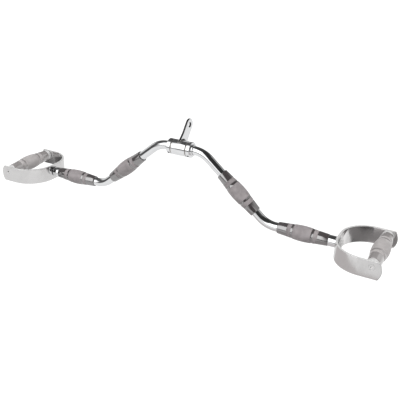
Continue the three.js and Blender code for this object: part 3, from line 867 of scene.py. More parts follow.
def screw_tree():
    """Places one screw at each point, with its axis along the point's outward direction."""
    tree, sockets, given = geometry_tree("Screws on points", {
        "Geometry": "Geometry", "Screw": "Object", "Material": "Material"})
    screw = add_node(tree, "GeometryNodeObjectInfo", {"Object": given.outputs["Screw"]})
    outward = add_node(tree, "GeometryNodeInputNamedAttribute", {"Name": "outward"},
                       data_type="FLOAT_VECTOR")
    aim = add_node(tree, "FunctionNodeAlignRotationToVector", {
        "Vector": outward.outputs["Attribute"]}, axis="X")
    points = add_node(tree, "GeometryNodeMeshToPoints", {"Mesh": given.outputs["Geometry"]})
    copies = add_node(tree, "GeometryNodeInstanceOnPoints", {
        "Points": points.outputs["Points"], "Instance": screw.outputs["Geometry"],
        "Rotation": aim.outputs["Rotation"]})
    end_tree(tree, copies.outputs["Instances"], given.outputs["Material"])
    return tree, sockets


def grown(base, tree, sockets, values):
    """Runs a geometry node tree on a mesh and gives the plain result, without the modifier."""
    seed = new_piece("seed", base)
    modifier = seed.modifiers.new("Grow", "NODES")
    modifier.node_group = tree
    for label, value in values.items():
        modifier[sockets[label]] = value
    result = applied(seed)
    smooth(result)
    return result


def placed_screws(name, screw_mesh, places, material):
    """One screw at each place, drawn along X from the place's origin."""
    points = bpy.data.meshes.new(name)
    points.from_pydata([place.translation for place in places], [], [])
    outward = points.attributes.new("outward", "FLOAT_VECTOR", "POINT")
    for index, place in enumerate(places):
        outward.data[index].vector = place.to_3x3() @ Vector((1.0, 0.0, 0.0))
    screw = new_piece("screw", screw_mesh)
    tree, sockets = screw_tree()
    result = grown(points, tree, sockets, {"Screw": screw, "Material": material})
    discard(screw)
    return result


# Shapes

def bar_mesh(sizes, material):
    """The bent round bar, swept along its centre line."""
    drop = HUB.z - BAR_END.z
    second = sizes.first_corner + drop / math.tan(sizes.bend_angle)
    right = [(sizes.first_corner, 0.0), (second, -drop), (BAR_END.x, -drop)]
    corners = [(-x, z) for x, z in reversed(right)] + right
    line = bpy.data.meshes.new("chromed_bar")
    line.from_pydata(
        [HUB + Vector((x, 0.0, z)) for x, z in corners],
        [(index, index + 1) for index in range(len(corners) - 1)], [])
    tree, sockets = bar_tree()
    return grown(line, tree, sockets, {
        "Bend Radius": sizes.bend_radius, "Bend Steps": sizes.bend_steps,
        "Bar Radius": sizes.radius, "Sides": sizes.sides, "Material": material})


def grip_profile(sizes, half, end_wall, cuff_wall, barrel_wall):
    """Outline of a moulded grip: rims, smooth cuffs, grooves, rings and a crowned barrel."""
    bore = sizes.bore
    groove_start = half - half * 2 * sizes.cuff_share
    barrel_half = groove_start - sizes.groove_width
    ring = groove_middle(sizes, half) - sizes.ring_offset
    slope = sizes.groove_width / 5
    floor = bore + cuff_wall - sizes.groove_depth
    side = [
        (half, bore),
        (half, bore + end_wall, sizes.rim),
        (groove_start, bore + cuff_wall, sizes.groove_ease),
        (groove_start - slope, floor, sizes.groove_ease / 2),
        (barrel_half + slope, floor, sizes.groove_ease / 2),
        (barrel_half, bore + cuff_wall, sizes.groove_ease),
    ]
    for step in range(1, sizes.barrel_steps):
        where = 1 - step / sizes.barrel_steps
        wall = cuff_wall + (barrel_wall - cuff_wall) * math.cos(where * QUARTER)
        if abs(barrel_half * where - ring) < sizes.ring_width / 2:
            wall -= sizes.ring_depth
        side.append((barrel_half * where, bore + wall))
    other = [(-corner[0], *corner[1:]) for corner in reversed(side)]
    return eased([*side, (0.0, bore + barrel_wall), *other], closed=True)


def arc(radius, height, turns):
    """Points of an arc about a middle at a height."""
    return [
        Vector((radius * math.cos(turn), height + radius * math.sin(turn))) for turn in turns]


def eye_outline(sizes, steps=24):
    """Outline of the eye plate in the plate's own plane, with its foot on the sleeve."""
    foot = sizes.sleeve_radius - sizes.plate_ease / 2
    toe = sizes.sleeve_radius + sizes.toe
    toe_y = toe * math.sin(sizes.base_angle)
    toe_z = toe * math.cos(sizes.base_angle)
    flare_z = toe_z + (sizes.eye_height - toe_z) * sizes.flare_share
    tangent_z = (toe * toe - sizes.eye_radius * toe_y) / toe_z
    control = Vector((
        sizes.eye_radius, tangent_z + (flare_z - tangent_z) * sizes.flare_share))
    start, end = Vector((toe_y, toe_z)), Vector((sizes.eye_radius, flare_z))
    right = []
    for step in range(steps + 1):
        t = step / steps
        right.append(start * (1 - t) ** 2 + control * 2 * t * (1 - t) + end * t * t)
    double = range(steps * 2 + 1)
    top = arc(sizes.eye_radius, sizes.eye_height, [
        math.pi * step / (steps * 2) for step in double])
    left = [Vector((-point.x, point.y)) for point in reversed(right)]
    base = []
    for step in double:
        turn = -sizes.base_angle + sizes.base_angle * 2 * step / (steps * 2)
        base.append(Vector((foot * math.sin(turn), foot * math.cos(turn))))
    return [*right, *top, *left, *base]


def flat_plate(name, loops, thickness, ease, place):
    """A flat plate with rounded edges from closed loops, the first its outside."""
    curve = bpy.data.curves.new(name, "CURVE")
    curve.dimensions = "2D"
    curve.fill_mode = "BOTH"
    curve.extrude = thickness / 2 - ease
    curve.bevel_depth = ease
    curve.bevel_resolution = 3
    curve.offset = -ease
    for loop in loops:
        points = [
            point for point, before in zip(loop, [loop[-1], *loop])
            if (point - before).length > OUTLINE_GAP]
        spline = curve.splines.new("POLY")
        spline.points.add(len(points) - 1)
        spline.use_cyclic_u = True
        for spot, point in zip(spline.points, points):
            spot.co = (point.x, point.y, 0.0, 1.0)
    mesh = applied(new_piece(name, curve))
    graph = bmesh.new()
    graph.from_mesh(mesh)
    bpy.data.meshes.remove(mesh)
    bmesh.ops.remove_doubles(graph, verts=graph.verts, dist=MERGE_GAP)
    return weighted(finish_mesh(graph, name, place))


def eye_plate_mesh(sizes, place, hole_steps=64):
    """The eye plate with its hole, upright on the sleeve."""
    hole = arc(sizes.hole_radius, sizes.eye_height, [
        math.tau * step / hole_steps for step in range(hole_steps)])
    # The drawing's X and Y become the hanger's Y and Z.
    upright = Matrix(((0, 0, 1, 0), (1, 0, 0, 0), (0, 1, 0, 0), (0, 0, 0, 1)))
    return flat_plate(
        "leaning_eye_plate", [eye_outline(sizes), hole], sizes.plate_thickness,
        sizes.plate_ease, place @ upright)


def weld_mesh(sizes, place):
    """Fillet weld all round the plate's foot, with the ripples of a hand-laid bead."""
    steps_per_ripple, bead_steps = 6, 7
    ripple_height, hollow = 0.07, 0.24
    taper, taper_start = 0.42, 0.82
    half_plate = sizes.plate_thickness / 2
    half_run = sizes.sleeve_radius * sizes.base_angle
    straight = half_run * 2
    fan = math.pi * half_plate
    loop = (straight + fan) * 2
    steps = int(loop / (sizes.weld_pitch / steps_per_ripple))
    buried = -half_plate / 3
    graph = bmesh.new()
    rings = []
    for step in range(steps):
        where = loop * step / steps
        half_loop, rest = divmod(where, straight + fan)
        flip = -1 if half_loop else 1
        heading = max(0.0, rest - straight) / fan * math.pi
        out = Vector((math.cos(heading) * flip, math.sin(heading) * flip))
        across = half_plate * math.cos(heading) * flip
        run = (min(rest, straight) - half_run) * flip
        nearness = max(0.0, (abs(run) / half_run - taper_start) / (1 - taper_start))
        ripple = 1 + ripple_height * math.sin(math.tau * where / sizes.weld_pitch)
        leg = sizes.weld_leg * (1 - taper * nearness) * ripple
        ring = []
        for bead in range(bead_steps + 1):
            turn = bead / bead_steps * QUARTER
            reach = leg * (1 - math.sin(turn * 2) * hollow)
            ring.append((reach * math.cos(turn), reach * math.sin(turn)))
        ring += [(buried, leg), (buried, -sizes.plate_ease), (leg, -sizes.plate_ease)]
        spots = []
        for outward, rise in ring:
            bend = (run + out.y * outward) / sizes.sleeve_radius
            radius = sizes.sleeve_radius + rise
            spots.append(graph.verts.new((
                across + out.x * outward, radius * math.sin(bend), radius * math.cos(bend))))
        rings.append(spots)
    bridge(graph, zip(rings, rings[1:] + rings[:1]))
    return finish_mesh(graph, "eye_weld", place)


def strap_section(sizes, inset=0.0):
    """Outline of the strap's section as (outward, height) points, outer face first."""
    half_thickness = sizes.thickness / 2 - inset
    ease = sizes.ease - inset
    face = sizes.width / 2 - inset - ease
    flat = half_thickness - ease
    half = [
        (half_thickness, -face + face * 2 * step / sizes.face_steps)
        for step in range(sizes.face_steps + 1)]
    for sign, start in ((1, 0.0), (-1, QUARTER)):
        for step in range(1, sizes.ease_steps + 1):
            turn = start + QUARTER * step / sizes.ease_steps
            half.append((sign * flat + ease * math.cos(turn), face + ease * math.sin(turn)))
    half.pop()
    return half + [(-outward, -height) for outward, height in half]


def strap_rings(graph, sizes):
    """Rings of vertices along the strap, from one tip to the other."""
    # The tip's first ring stops just short of the full rounding, so its edges don't collapse.
    rounding_share = 0.98
    centre_x = sizes.start + sizes.corner_radius
    middle = sizes.corner_radius - sizes.thickness / 2
    crown = ((sizes.width / 2) ** 2 + sizes.bulge ** 2) / (sizes.bulge * 2)
    turns = [QUARTER * step / sizes.corner_steps for step in range(sizes.corner_steps + 1)]

    def arm_ring(side, reach, back, inset=0.0):
        """A ring at a share of an arm's reach, held back from the tip and drawn in."""
        spots = []
        for outward, height in strap_section(sizes, inset):
            tip = sizes.tip - (crown - math.sqrt(max(0.0, crown ** 2 - height ** 2)))
            spots.append(graph.verts.new((
                centre_x + (tip - back - centre_x) * reach,
                side * (sizes.flat_half + middle + outward), height)))
        return spots

    def arm(side):
        """The rings of one arm, from its rounded tip to its corner."""
        rings = []
        for step in range(sizes.ease_steps, -1, -1):
            turn = QUARTER * step / sizes.ease_steps
            rings.append(arm_ring(
                side, 1.0, sizes.ease * (1 - math.sin(turn)),
                sizes.ease * (1 - math.cos(turn)) * rounding_share))
        for step in range(sizes.arm_steps - 1, 0, -1):
            rings.append(arm_ring(side, step / sizes.arm_steps, sizes.ease))
        return rings

    def corner_ring(side, turn):
        """A ring round one corner, from the arm's end at no turn."""
        return [
            graph.verts.new((
                centre_x - (middle + outward) * math.sin(turn),
                side * (sizes.flat_half + (middle + outward) * math.cos(turn)), height))
            for outward, height in strap_section(sizes)]

    rings = arm(-1)
    rings += [corner_ring(-1, turn) for turn in turns]
    rings += [corner_ring(1, turn) for turn in reversed(turns)]
    return rings + arm(1)[::-1]


def strap_mesh(sizes, name, place):
    """The U-shaped strap with rounded edges and crowned tips."""
    graph = bmesh.new()
    rings = strap_rings(graph, sizes)
    bridge(graph, zip(rings, rings[1:]))
    steps = sizes.face_steps
    for end in (rings[0], rings[-1]):
        half = len(end) // 2
        outer, inner = end[:steps + 1], end[half:half + steps + 1][::-1]
        for index in range(steps):
            graph.faces.new((outer[index], outer[index + 1], inner[index + 1], inner[index]))
        graph.faces.new(end[steps:half + 1])
        graph.faces.new([*end[half + steps:], end[0]])
    return finish_mesh(graph, name, place)


def countersink_cutter(sizes, handles, place):
    """Cutter for the countersunk hole in one arm."""
    inner, outer = handles.span_half - sizes.thickness - OVERRUN, handles.span_half
    slope = (sizes.countersink - sizes.screw_hole) / sizes.countersink_depth
    profile = [
        (inner, 0.0),
        (inner, sizes.screw_hole),
        (outer - sizes.countersink_depth, sizes.screw_hole),
        (outer + OVERRUN, sizes.countersink + slope * OVERRUN),
        (outer + OVERRUN, 0.0),
    ]
    return turned("countersink", profile, place, sides=64, closed=False)


def grub_mesh(sizes):
    """One grub screw with its hexagon, drawn out along X from the bar's axis."""
    end = sizes.radius - sizes.ease
    rim = sizes.grub_radius / 8
    profile = eased([
        (sizes.bore, 0.0), (sizes.bore, sizes.grub_radius, rim),
        (end, sizes.grub_radius, rim), (end, 0.0)], closed=False)
    blank = turned("grub_screw", profile, None, sides=48, closed=False)
    return drilled(blank, [
        hexagon_cutter(None, end, sizes.grub_socket_depth, sizes.grub_socket)])


def countersunk_mesh(sizes):
    """One countersunk screw with its hexagon, drawn out along X from the handle's middle."""
    outer = sizes.span_half
    land = sizes.screw_cone / 12
    profile = [
        (outer - sizes.screw_length, 0.0),
        (outer - sizes.screw_length, sizes.screw_radius),
        (outer - sizes.screw_cone, sizes.screw_radius),
        (outer - land, sizes.screw_head),
        (outer, sizes.screw_head - land / 2),
        (outer, 0.0),
    ]
    blank = turned("countersunk_screw", profile, None, sides=64, closed=False)
    return drilled(blank, [
        hexagon_cutter(None, outer, sizes.screw_socket_depth, sizes.screw_socket)])


def bolt_mesh(sizes, name, place, sides):
    """Shoulder bolt with a low domed head and a hexagon."""
    dome_steps = 16
    head_end = sizes.head_start + sizes.head_height
    rise = sizes.head_height - sizes.head_rim
    profile = [
        (sizes.washer_start, 0.0), (sizes.washer_start, sizes.shoulder_radius),
        (sizes.head_start, sizes.shoulder_radius), (sizes.head_start, sizes.head_radius)]
    for step in range(dome_steps):
        turn = QUARTER * step / dome_steps
        profile.append((
            sizes.head_start + sizes.head_rim + rise * math.sin(turn),
            sizes.head_radius * math.cos(turn)))
    profile.append((head_end, 0.0))
    blank = turned(name, profile, place, sides, closed=False)
    return drilled(blank, [
        hexagon_cutter(place, head_end, sizes.socket_depth, sizes.socket_radius)])


# Stage

# What the plating mirrors where nothing lies over it.
FLOOR_LEVEL = 0.86

# What the plating mirrors, as seen from the hub: name, azimuth and elevation of the middle,
# half width and half height, soft edge, brightness. Azimuth 0 is behind the bar, 90 to its
# right. Later ones lie over earlier ones.
SURROUNDINGS = (
    ("ceiling", 0, 77, 200, 35, 14, 0.055),
    ("back wall", -14, 28, 38, 30, 10, 0.08),
    ("left wall", -92, 32, 46, 34, 10, 0.10),
    ("right wall", 88, 60, 74, 26, 12, 0.035),
    ("right wall foot", 62, 22, 44, 20, 14, 0.55),
    ("right front corner", 150, 12, 22, 34, 12, 0.03),
    ("left light", -72, 11, 26, 14, 8, 0.72),
    ("left back corner", -44, 14, 9, 16, 6, 0.03),
    ("left front corner", -124, -5, 18, 9, 8, 0.08),
    ("left top light", -118, 54, 12, 8, 6, 0.75),
    ("front board", -163, 26, 20, 34, 10, 2.0),
    ("front board's left end", -140, 40, 14, 20, 7, 2.0),
    ("front board's foot", -166, -6, 18, 10, 6, 0.66),
    ("horizon line", -152, -9, 14, 4, 4, 0.06),
    ("left floor edge", -94, -22, 13, 8, 6, 0.10),
    ("right floor edge", 100, -22, 16, 6, 6, 0.13),
    ("back right floor", 52, -24, 20, 9, 6, 1.0),
)

# Shade on the floor that the plating mirrors: name, brightness, corners in plan. Later ones lie
# over earlier ones.
FLOOR_SHADES = (
    ("under the bar's right half", 0.58, (
        (0.06, 0.12), (0.06, -0.25), (0.14, -0.30), (0.32, -0.405), (0.42, -0.44),
        (0.56, -0.43), (0.62, -0.36), (0.62, 0.12))),
    ("beside the right stirrup", 0.22, (
        (0.45, -0.28), (0.45, -0.375), (0.57, -0.375), (0.66, -0.44), (0.82, -0.34),
        (0.98, -0.14), (0.98, 0.24), (0.86, 0.24), (0.83, -0.02), (0.79, -0.12),
        (0.71, -0.19), (0.62, -0.26))),
    ("far side of that shade", 0.06, (
        (0.57, -0.36), (0.57, -0.40), (0.66, -0.46), (0.84, -0.36), (1.00, -0.14),
        (0.93, -0.12), (0.82, -0.235), (0.72, -0.32), (0.62, -0.365))),
    ("beside the left stirrup", 0.13, (
        (-1.17, 0.12), (-1.17, -0.22), (-1.08, -0.33), (-0.86, -0.33), (-0.86, -0.22),
        (-1.00, -0.14), (-1.07, 0.0), (-1.09, 0.12))),
)


def make_floor(studio):
    """A wide pale floor below the hung bar, white to the camera as far as it reaches."""
    reach = 30.0
    near, far = 0.7, 3.0
    near_glow, far_glow, mirrored_glow = 0.66, 0.90, 0.34
    mesh = bpy.data.meshes.new("floor")
    mesh.from_pydata(
        [(x * reach, y * reach, studio.floor_height) for x, y in
         ((-1, -1), (1, -1), (1, 1), (-1, 1))], [], [(0, 1, 2, 3)])
    material, tree, shader = new_finish(
        "pale_floor", Base_Color=(0.5, 0.5, 0.5), Roughness=0.9, Emission_Color=WHITE)
    away = add_node(tree, "ShaderNodeVectorMath", {0: object_coordinates(tree)},
                    operation="LENGTH")
    lift = ranged(tree, away.outputs["Value"], near_glow, far_glow, near, far)
    paths = tree.nodes.new("ShaderNodeLightPath").outputs
    seen = calculated(tree, "MAXIMUM", paths["Is Camera Ray"], paths["Is Transmission Ray"])
    glow = calculated(
        tree, "ADD", calculated(tree, "MULTIPLY", seen, lift),
        calculated(tree, "MULTIPLY", paths["Is Glossy Ray"], mirrored_glow))
    tree.links.new(glow, shader.inputs["Emission Strength"])
    mesh.materials.append(material)
    new_piece("floor", mesh)


def surroundings_level(azimuth, elevation):
    """Brightness of the surroundings in one direction from the hub."""
    level = FLOOR_LEVEL
    for _, middle, height, half_width, half_height, soft, brightness in SURROUNDINGS:
        across = abs((azimuth - middle + 180.0) % 360.0 - 180.0)
        up = abs(elevation - height)
        share_across = min(1.0, max(0.0, (half_width - across) / soft + 0.5))
        share_up = min(1.0, max(0.0, (half_height - up) / soft + 0.5))
        weight = share_across * share_up
        weight = weight * weight * (3.0 - 2.0 * weight)
        level += (brightness - level) * weight
    return level


def glowing_sheet(name, points, faces, tint=WHITE):
    """Mesh of a sheet that glows without lighting anything, with its tree and shader."""
    mesh = bpy.data.meshes.new(name)
    mesh.from_pydata(points, [], faces)
    material, tree, shader = new_finish(
        name, Base_Color=BLACK, Roughness=1.0, Specular_IOR_Level=0.0, Emission_Color=tint)
    material.cycles.emission_sampling = "NONE"
    mesh.materials.append(material)
    return mesh, tree, shader


def mirrored_only(card):
    """Hides a card of the stage from everything but reflections."""
    card.visible_camera = False
    card.visible_diffuse = False
    card.visible_shadow = False
    card.visible_transmission = False


def make_surroundings(studio):
    """A dome with light and dark sheets, seen only in the plating's reflections."""
    reach, lowest, step = 8.0, -30.0, 3.0
    over_floor = 0.006
    clearance = HUB.z - studio.floor_height - over_floor
    turns = int(360 / step)
    rises = int((90 - lowest) / step)
    points, levels = [], []
    for row in range(rises + 1):
        elevation = lowest + (90 - lowest) * row / rises
        rise = math.radians(elevation)
        radius = min(reach, clearance / -math.sin(rise)) if rise < 0 else reach
        for column in range(turns):
            azimuth = column * step - 180.0
            turn = math.radians(azimuth)
            points.append(HUB + radius * Vector((
                math.sin(turn) * math.cos(rise), math.cos(turn) * math.cos(rise),
                math.sin(rise))))
            levels.append(surroundings_level(azimuth, elevation))
    faces = [(row * turns + column, row * turns + (column + 1) % turns,
              (row + 1) * turns + (column + 1) % turns, (row + 1) * turns + column)
             for row in range(rises) for column in range(turns)]
    mesh, tree, shader = glowing_sheet("surroundings", points, faces)
    attribute = mesh.attributes.new("Level", "FLOAT", "POINT")
    attribute.data.foreach_set("value", levels)
    level = add_node(tree, "ShaderNodeAttribute", attribute_name="Level")
    tree.links.new(level.outputs["Fac"], shader.inputs["Emission Strength"])
    mirrored_only(new_piece("surroundings", mesh))


def make_floor_shades(studio):
    """Flat cards just above the floor, seen only in the plating."""
    over_floor, apart = 0.008, 0.001
    tint = (1.0, 0.955, 0.955)
    for step, (name, brightness, corners) in enumerate(FLOOR_SHADES):
        height = studio.floor_height + over_floor + apart * step
        mesh, _, shader = glowing_sheet(
            name, [(x, y, height) for x, y in corners], [tuple(range(len(corners)))], tint)
        shader.inputs["Emission Strength"].default_value = brightness
        mirrored_only(new_piece(name, mesh))


def make_world(scene):
    """Even pale surroundings, white where the camera and the plating see them."""
    unseen_level = 0.55
    world = bpy.data.worlds.new("studio")
    scene.world = world
    world.use_nodes = True
    tree = world.node_tree
    background = tree.nodes["Background"]
    background.inputs["Color"].default_value = (*WHITE, 1.0)
    paths = tree.nodes.new("ShaderNodeLightPath").outputs
    seen = calculated(
        tree, "MAXIMUM",
        calculated(tree, "MAXIMUM", paths["Is Camera Ray"], paths["Is Glossy Ray"]),
        paths["Is Transmission Ray"])
    tree.links.new(ranged(tree, seen, unseen_level, 1.0), background.inputs["Strength"])


def make_lamps():
    """Large soft lamps in front of and above the bar; the plating mirrors the dome instead."""
    for name, place, size, power in (
            ("key", (-1.4, -2.2, 1.9), 1.8, 38.0),
            ("fill", (2.4, -1.6, 1.0), 1.6, 20.0),
            ("top", (0.2, 0.4, 2.6), 2.2, 26.0)):
        data = bpy.data.lights.new(name, "AREA")
        data.shape = "SQUARE"
        data.size = size
        data.energy = power
        lamp = bpy.data.objects.new(name, data)
        bpy.context.scene.collection.objects.link(lamp)
        lamp.location = place
        lamp.visible_glossy = False
        aim = Vector((0.0, HUB.y, BAR_END.z)) - Vector(place)
        lamp.rotation_euler = aim.to_track_quat("-Z", "Y").to_euler()


def aim_camera(scene, studio):
    """Points the camera as the photograph was taken."""
    turn, rise, roll = studio.azimuth, studio.elevation, studio.roll
    back = Vector((
        math.sin(turn) * math.cos(rise), -math.cos(turn) * math.cos(rise), math.sin(rise)))
    right = (-back).cross(Vector((0.0, 0.0, 1.0))).normalized()
    up = right.cross(-back)
    rolled_right = right * math.cos(roll) + up * math.sin(roll)
    rolled_up = up * math.cos(roll) - right * math.sin(roll)
    aim = HUB + Vector((studio.aim_x, 0.0, studio.aim_z))
    data = bpy.data.cameras.new("camera")
    data.sensor_width = 36.0
    data.lens = studio.focal_pixels / FRAME_PIXELS * data.sensor_width
    data.clip_end = 200.0
    camera = bpy.data.objects.new("camera", data)
    scene.collection.objects.link(camera)
    turn_matrix = Matrix((rolled_right, rolled_up, back)).transposed().to_4x4()
    camera.matrix_world = Matrix.Translation(aim + back * studio.distance) @ turn_matrix
    scene.camera = camera
    scene.view_settings.view_transform = "Standard"


# Operators

class LATBAR_OT_bar(Operator):
    """Build the bent chromed bar"""

    bl_idname = "lat_bar.bar"
    bl_label = "Chromed Bar"

    def execute(self, context):
        material = finish("chrome")
        mesh = bar_mesh(context.scene.lat_bar.bar, material)
        dressed("chromed_bar", mesh, "bar", material, "chrome", "bar")
        return {"FINISHED"}


class LATBAR_OT_bar_grips(Operator):
    """Build the inner and outer rubber grips on the bar"""

    bl_idname = "lat_bar.bar_grips"
    bl_label = "Bar Grips"

    def execute(self, context):
        settings = context.scene.lat_bar
        sizes = settings.grips
        profile = grip_profile(
            sizes, bar_grip_half(), sizes.end_wall, sizes.cuff_wall, sizes.barrel_wall)
        for side, turn in SIDES.items():
            for which, slope in (("inner", settings.bar.bend_angle), ("outer", 0.0)):
                node = f"{which}_grip_{side}"
                low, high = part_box(node)
                place = (
                    Matrix.Translation((low + high) / 2) @ Matrix.Rotation(turn, 4, "Z")
                    @ Matrix.Rotation(slope, 4, "Y"))
                mesh = turned(f"{node}_rubber", profile, place, settings.bar.sides)
                dressed(mesh.name, mesh, "bar", finish("bar_rubber"), "rubber", node)
        return {"FINISHED"}


class LATBAR_OT_hanger(Operator):
    """Build the revolving sleeve with its welded eye plate"""

    bl_idname = "lat_bar.hanger"
    bl_label = "Revolving Hanger"

    def execute(self, context):
        settings = context.scene.lat_bar
        sizes = settings.hanger
        place = hub_place() @ Matrix.Rotation(-sizes.lean, 4, "X")
        half, ease = sizes.sleeve_half, sizes.sleeve_ease
        profile = eased([
            (-half, sizes.sleeve_bore, ease / 3), (-half, sizes.sleeve_radius, ease),
            (half, sizes.sleeve_radius, ease), (half, sizes.sleeve_bore, ease / 3)], closed=True)
        sleeve = turned("revolving_sleeve", profile, place, settings.bar.sides)
        dressed(sleeve.name, sleeve, "hanger", finish("chrome"), "chrome", "hanger_sleeve")
        plate = eye_plate_mesh(sizes, place)
        dressed(plate.name, plate, "hanger", finish("eye"), "chrome", "eye_plate")
        weld = weld_mesh(sizes, place)
        dressed(weld.name, weld, "hanger", finish("weld"), "chrome",
                "eye_weld_left", "eye_weld_right")
        return {"FINISHED"}


class LATBAR_OT_bushes(Operator):
    """Build the flanged bushes in the revolving sleeve"""

    bl_idname = "lat_bar.bushes"
    bl_label = "Hanger Bushes"

    def execute(self, context):
        settings = context.scene.lat_bar
        sizes = settings.hanger
        rim = sizes.plate_ease / 2
        profile = eased([
            (sizes.bush_start, sizes.bush_bore), (sizes.bush_start, sizes.bush_radius, rim),
            (sizes.flange_start, sizes.bush_radius), (sizes.flange_start, sizes.bush_flange, rim),
            (sizes.flange_end, sizes.bush_flange, rim), (sizes.flange_end, sizes.bush_bore)],
            closed=True)
        for side, turn in SIDES.items():
            mesh = turned(f"flanged_bush_{side}", profile, hub_place(turn), settings.bar.sides)
            dressed(mesh.name, mesh, "hanger", finish("bronze"), "bronze", f"hanger_bush_{side}")
        return {"FINISHED"}


class LATBAR_OT_collars(Operator):
    """Build the retaining collars beside the hanger and their grub screws"""

    bl_idname = "lat_bar.collars"
    bl_label = "Retaining Collars"

    def execute(self, context):
        settings = context.scene.lat_bar
        sizes = settings.collars
        ease = sizes.ease
        profile = eased([
            (sizes.start, sizes.bore, ease / 3), (sizes.start, sizes.radius, ease),
            (sizes.flange_end, sizes.radius, ease), (sizes.flange_end, sizes.boss, ease / 2),
            (sizes.end, sizes.boss, ease), (sizes.end, sizes.bore, ease / 3)], closed=True)
        middle = (sizes.start + sizes.flange_end) / 2
        screw_places = []
        for side, turn in SIDES.items():
            place = hub_place(turn)
            cutters = []
            for sign in (-1, 1):
                radial = (
                    place @ Matrix.Translation((middle, 0.0, 0.0))
                    @ Matrix.Rotation(sign * sizes.grub_spread / 2, 4, "X")
                    @ Matrix.Rotation(QUARTER, 4, "Y"))
                screw_places.append(radial)
                cutters.append(round_cutter(
                    radial, sizes.bore - OVERRUN, sizes.radius + OVERRUN, sizes.grub_hole,
                    sides=40))
            mesh = drilled(
                turned(f"collar_{side}", profile, place, settings.bar.sides), cutters)
            dressed(mesh.name, weighted(mesh), "bar", finish("chrome"), "chrome",
                    f"retaining_collar_{side}")
        mesh = placed_screws("grub_screws", grub_mesh(sizes), screw_places, finish("steel"))
        dressed(mesh.name, mesh, "bar", finish("steel"), "dark_steel", *(
            f"grub_screw_{side}_{place}" for side in SIDES for place in ("front", "back")))
        return {"FINISHED"}


class LATBAR_OT_swivels(Operator):
    """Build the boss, washers and shoulder bolt at each end of the bar"""

    bl_idname = "lat_bar.swivels"
    bl_label = "End Swivels"

    def execute(self, context):
        settings = context.scene.lat_bar
        sizes = settings.swivels
        sides = settings.bar.sides
        ease = sizes.boss_ease
        boss = eased([
            (-sizes.boss_length, sizes.boss_bore, ease / 3),
            (-sizes.boss_length, sizes.boss_radius, ease),
            (0.0, sizes.boss_radius, ease), (0.0, sizes.boss_bore, ease / 3)], closed=True)
        for side, turn in SIDES.items():
            place = end_place(turn)
            mesh = turned(f"end_boss_{side}", boss, place, sides)
            dressed(mesh.name, mesh, "bar", finish("chrome"), "chrome", f"end_collar_{side}")
            # The steel washers take the pale ferrule finish, a painted white reflection.
            for name, node, start, look, slot in (
                    ("nylon_washer", "thrust_washer", sizes.washer_start, "nylon", "nylon"),
                    ("steel_washer", "head_washer", sizes.inner_washer_start, "ferrule",
                     "dark_steel")):
                end = start + sizes.washer_thickness
                ring = eased([
                    (start, sizes.washer_bore), (start, sizes.washer_radius, ease / 4),
                    (end, sizes.washer_radius, ease / 4), (end, sizes.washer_bore)], closed=True)
                mesh = turned(f"{name}_{side}", ring, place, sides)
                dressed(mesh.name, mesh, "bar", finish(look), slot, f"{node}_{side}")
            # The shoulder bolt takes the pale ferrule finish, a painted white reflection of its
            # plating.
            mesh = bolt_mesh(sizes, f"shoulder_bolt_{side}", place, sides)
            dressed(mesh.name, mesh, "bar", finish("ferrule"), "chrome", f"pivot_bolt_{side}")
            refinished(f"pivot_bush_{side}", finish("bronze"))
        return {"FINISHED"}


class LATBAR_OT_straps(Operator):
    """Build the two stirrup straps"""

    bl_idname = "lat_bar.straps"
    bl_label = "Stirrup Straps"

    def execute(self, context):
        settings = context.scene.lat_bar
        sizes = settings.straps
        for side, turn in SIDES.items():
            blank = strap_mesh(sizes, f"stirrup_strap_{side}", end_place(turn))
            cutters = [
                countersink_cutter(sizes, settings.handles, place)
                for place in arm_places(turn)]
            cutters.append(round_cutter(
                end_place(turn), 0.0, sizes.start + sizes.thickness + OVERRUN,
                sizes.pivot_hole, sides=64))
            mesh = weighted(drilled(blank, cutters))
            dressed(mesh.name, mesh, f"stirrup_{side}", finish("satin"), "satin_steel",
                    f"strap_{side}")
        return {"FINISHED"}


class LATBAR_OT_handles(Operator):
    """Build the rubber handles between the arms, with their ferrules"""

    bl_idname = "lat_bar.handles"
    bl_label = "Stirrup Handles"

    def execute(self, context):
        settings = context.scene.lat_bar
        sizes = settings.handles
        grips = settings.grips
        profile = grip_profile(
            grips, sizes.grip_half, grips.handle_end_wall, grips.handle_cuff_wall,
            grips.handle_barrel_wall)
        ease = sizes.ferrule_ease
        spigot_end = sizes.ferrule_inner - sizes.spigot_length
        ferrule = eased([
            (spigot_end, sizes.ferrule_bore), (spigot_end, sizes.spigot_radius),
            (sizes.ferrule_inner, sizes.spigot_radius),
            (sizes.ferrule_inner, sizes.ferrule_radius, ease / 3),
            (sizes.ferrule_outer, sizes.ferrule_radius, ease),
            (sizes.ferrule_outer, sizes.ferrule_bore, ease / 3)], closed=True)
        for side, turn in SIDES.items():
            place = handle_place(turn)
            body = f"stirrup_handle_{side}"
            mesh = turned(f"handle_rubber_{side}", profile, place, settings.bar.sides)
            dressed(mesh.name, mesh, body, finish("handle_rubber"), "rubber",
                    f"stirrup_grip_{side}")
            for end, flip in ARMS.items():
                spot = place @ Matrix.Rotation(flip + turn, 4, "Z")
                mesh = turned(
                    f"chromed_ferrule_{side}_{end}", ferrule, spot, settings.bar.sides)
                # Each chromed ferrule takes the pale finish, a painted white reflection.
                dressed(mesh.name, mesh, body, finish("ferrule"), "chrome",
                        f"ferrule_{side}_{end}")
            refinished(f"grip_rod_{side}", finish("steel"))
            refinished(f"grip_core_{side}", finish("steel"))
        return {"FINISHED"}


class LATBAR_OT_screws(Operator):
    """Build the countersunk screws in the arms of the straps"""

    bl_idname = "lat_bar.screws"
    bl_label = "Countersunk Screws"

    def execute(self, context):
        sizes = context.scene.lat_bar.handles
        for side, turn in SIDES.items():
            mesh = placed_screws(
                f"countersunk_screws_{side}", countersunk_mesh(sizes), arm_places(turn),
                finish("satin"))
            dressed(mesh.name, mesh, f"stirrup_{side}", finish("satin"), "satin_steel",
                    f"rod_screw_{side}_front", f"rod_screw_{side}_back")
        return {"FINISHED"}


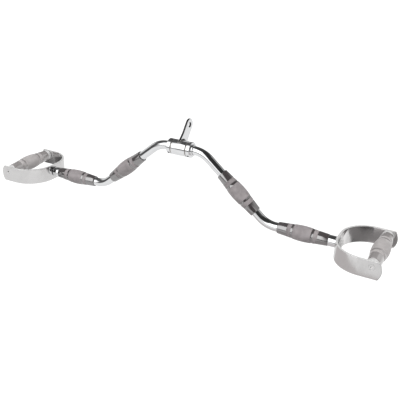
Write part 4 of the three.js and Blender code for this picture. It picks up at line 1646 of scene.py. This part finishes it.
class LATBAR_OT_stage(Operator):
    """Set up the floor, the soft light and the camera"""

    bl_idname = "lat_bar.stage"
    bl_label = "Studio Stage"

    def execute(self, context):
        studio = context.scene.lat_bar.studio
        make_floor(studio)
        make_surroundings(studio)
        make_floor_shades(studio)
        make_world(context.scene)
        make_lamps()
        aim_camera(context.scene, studio)
        return {"FINISHED"}


# Panel and registration

BUILDERS = (
    LATBAR_OT_bar, LATBAR_OT_bar_grips, LATBAR_OT_hanger, LATBAR_OT_bushes, LATBAR_OT_collars,
    LATBAR_OT_swivels, LATBAR_OT_straps, LATBAR_OT_handles, LATBAR_OT_screws, LATBAR_OT_stage)


class LATBAR_PT_panel(Panel):
    """Sizes, finishes and build buttons of the lat bar."""

    bl_idname = "LATBAR_PT_panel"
    bl_label = "Lat Pulldown Bar"
    bl_space_type = "VIEW_3D"
    bl_region_type = "UI"
    bl_category = "Lat Bar"

    def draw(self, context):
        for builder in BUILDERS:
            self.layout.operator(builder.bl_idname)
        settings = context.scene.lat_bar
        for name in settings.bl_rna.properties.keys():
            group = getattr(settings, name)
            if not isinstance(group, PropertyGroup):
                continue
            box = self.layout.box()
            box.label(text=name.title())
            for key in group.__annotations__:
                box.prop(group, key)


CLASSES = (
    BarSizes, GripSizes, HangerSizes, CollarSizes, SwivelSizes, StrapSizes, HandleSizes,
    Finishes, Studio, LatBarSettings, *BUILDERS, LATBAR_PT_panel)


def register():
    """Adds the settings, the operators and the panel."""
    for item in CLASSES:
        bpy.utils.register_class(item)
    bpy.types.Scene.lat_bar = PointerProperty(type=LatBarSettings)


def unregister():
    """Takes the settings, the operators and the panel away again."""
    del bpy.types.Scene.lat_bar
    for item in reversed(CLASSES):
        bpy.utils.unregister_class(item)


def main():
    register()
    bpy.ops.lat_bar.bar()
    bpy.ops.lat_bar.bar_grips()
    bpy.ops.lat_bar.hanger()
    bpy.ops.lat_bar.bushes()
    bpy.ops.lat_bar.collars()
    bpy.ops.lat_bar.swivels()
    bpy.ops.lat_bar.straps()
    bpy.ops.lat_bar.handles()
    bpy.ops.lat_bar.screws()
    bpy.ops.lat_bar.stage()


if __name__ == "__main__":
    main()
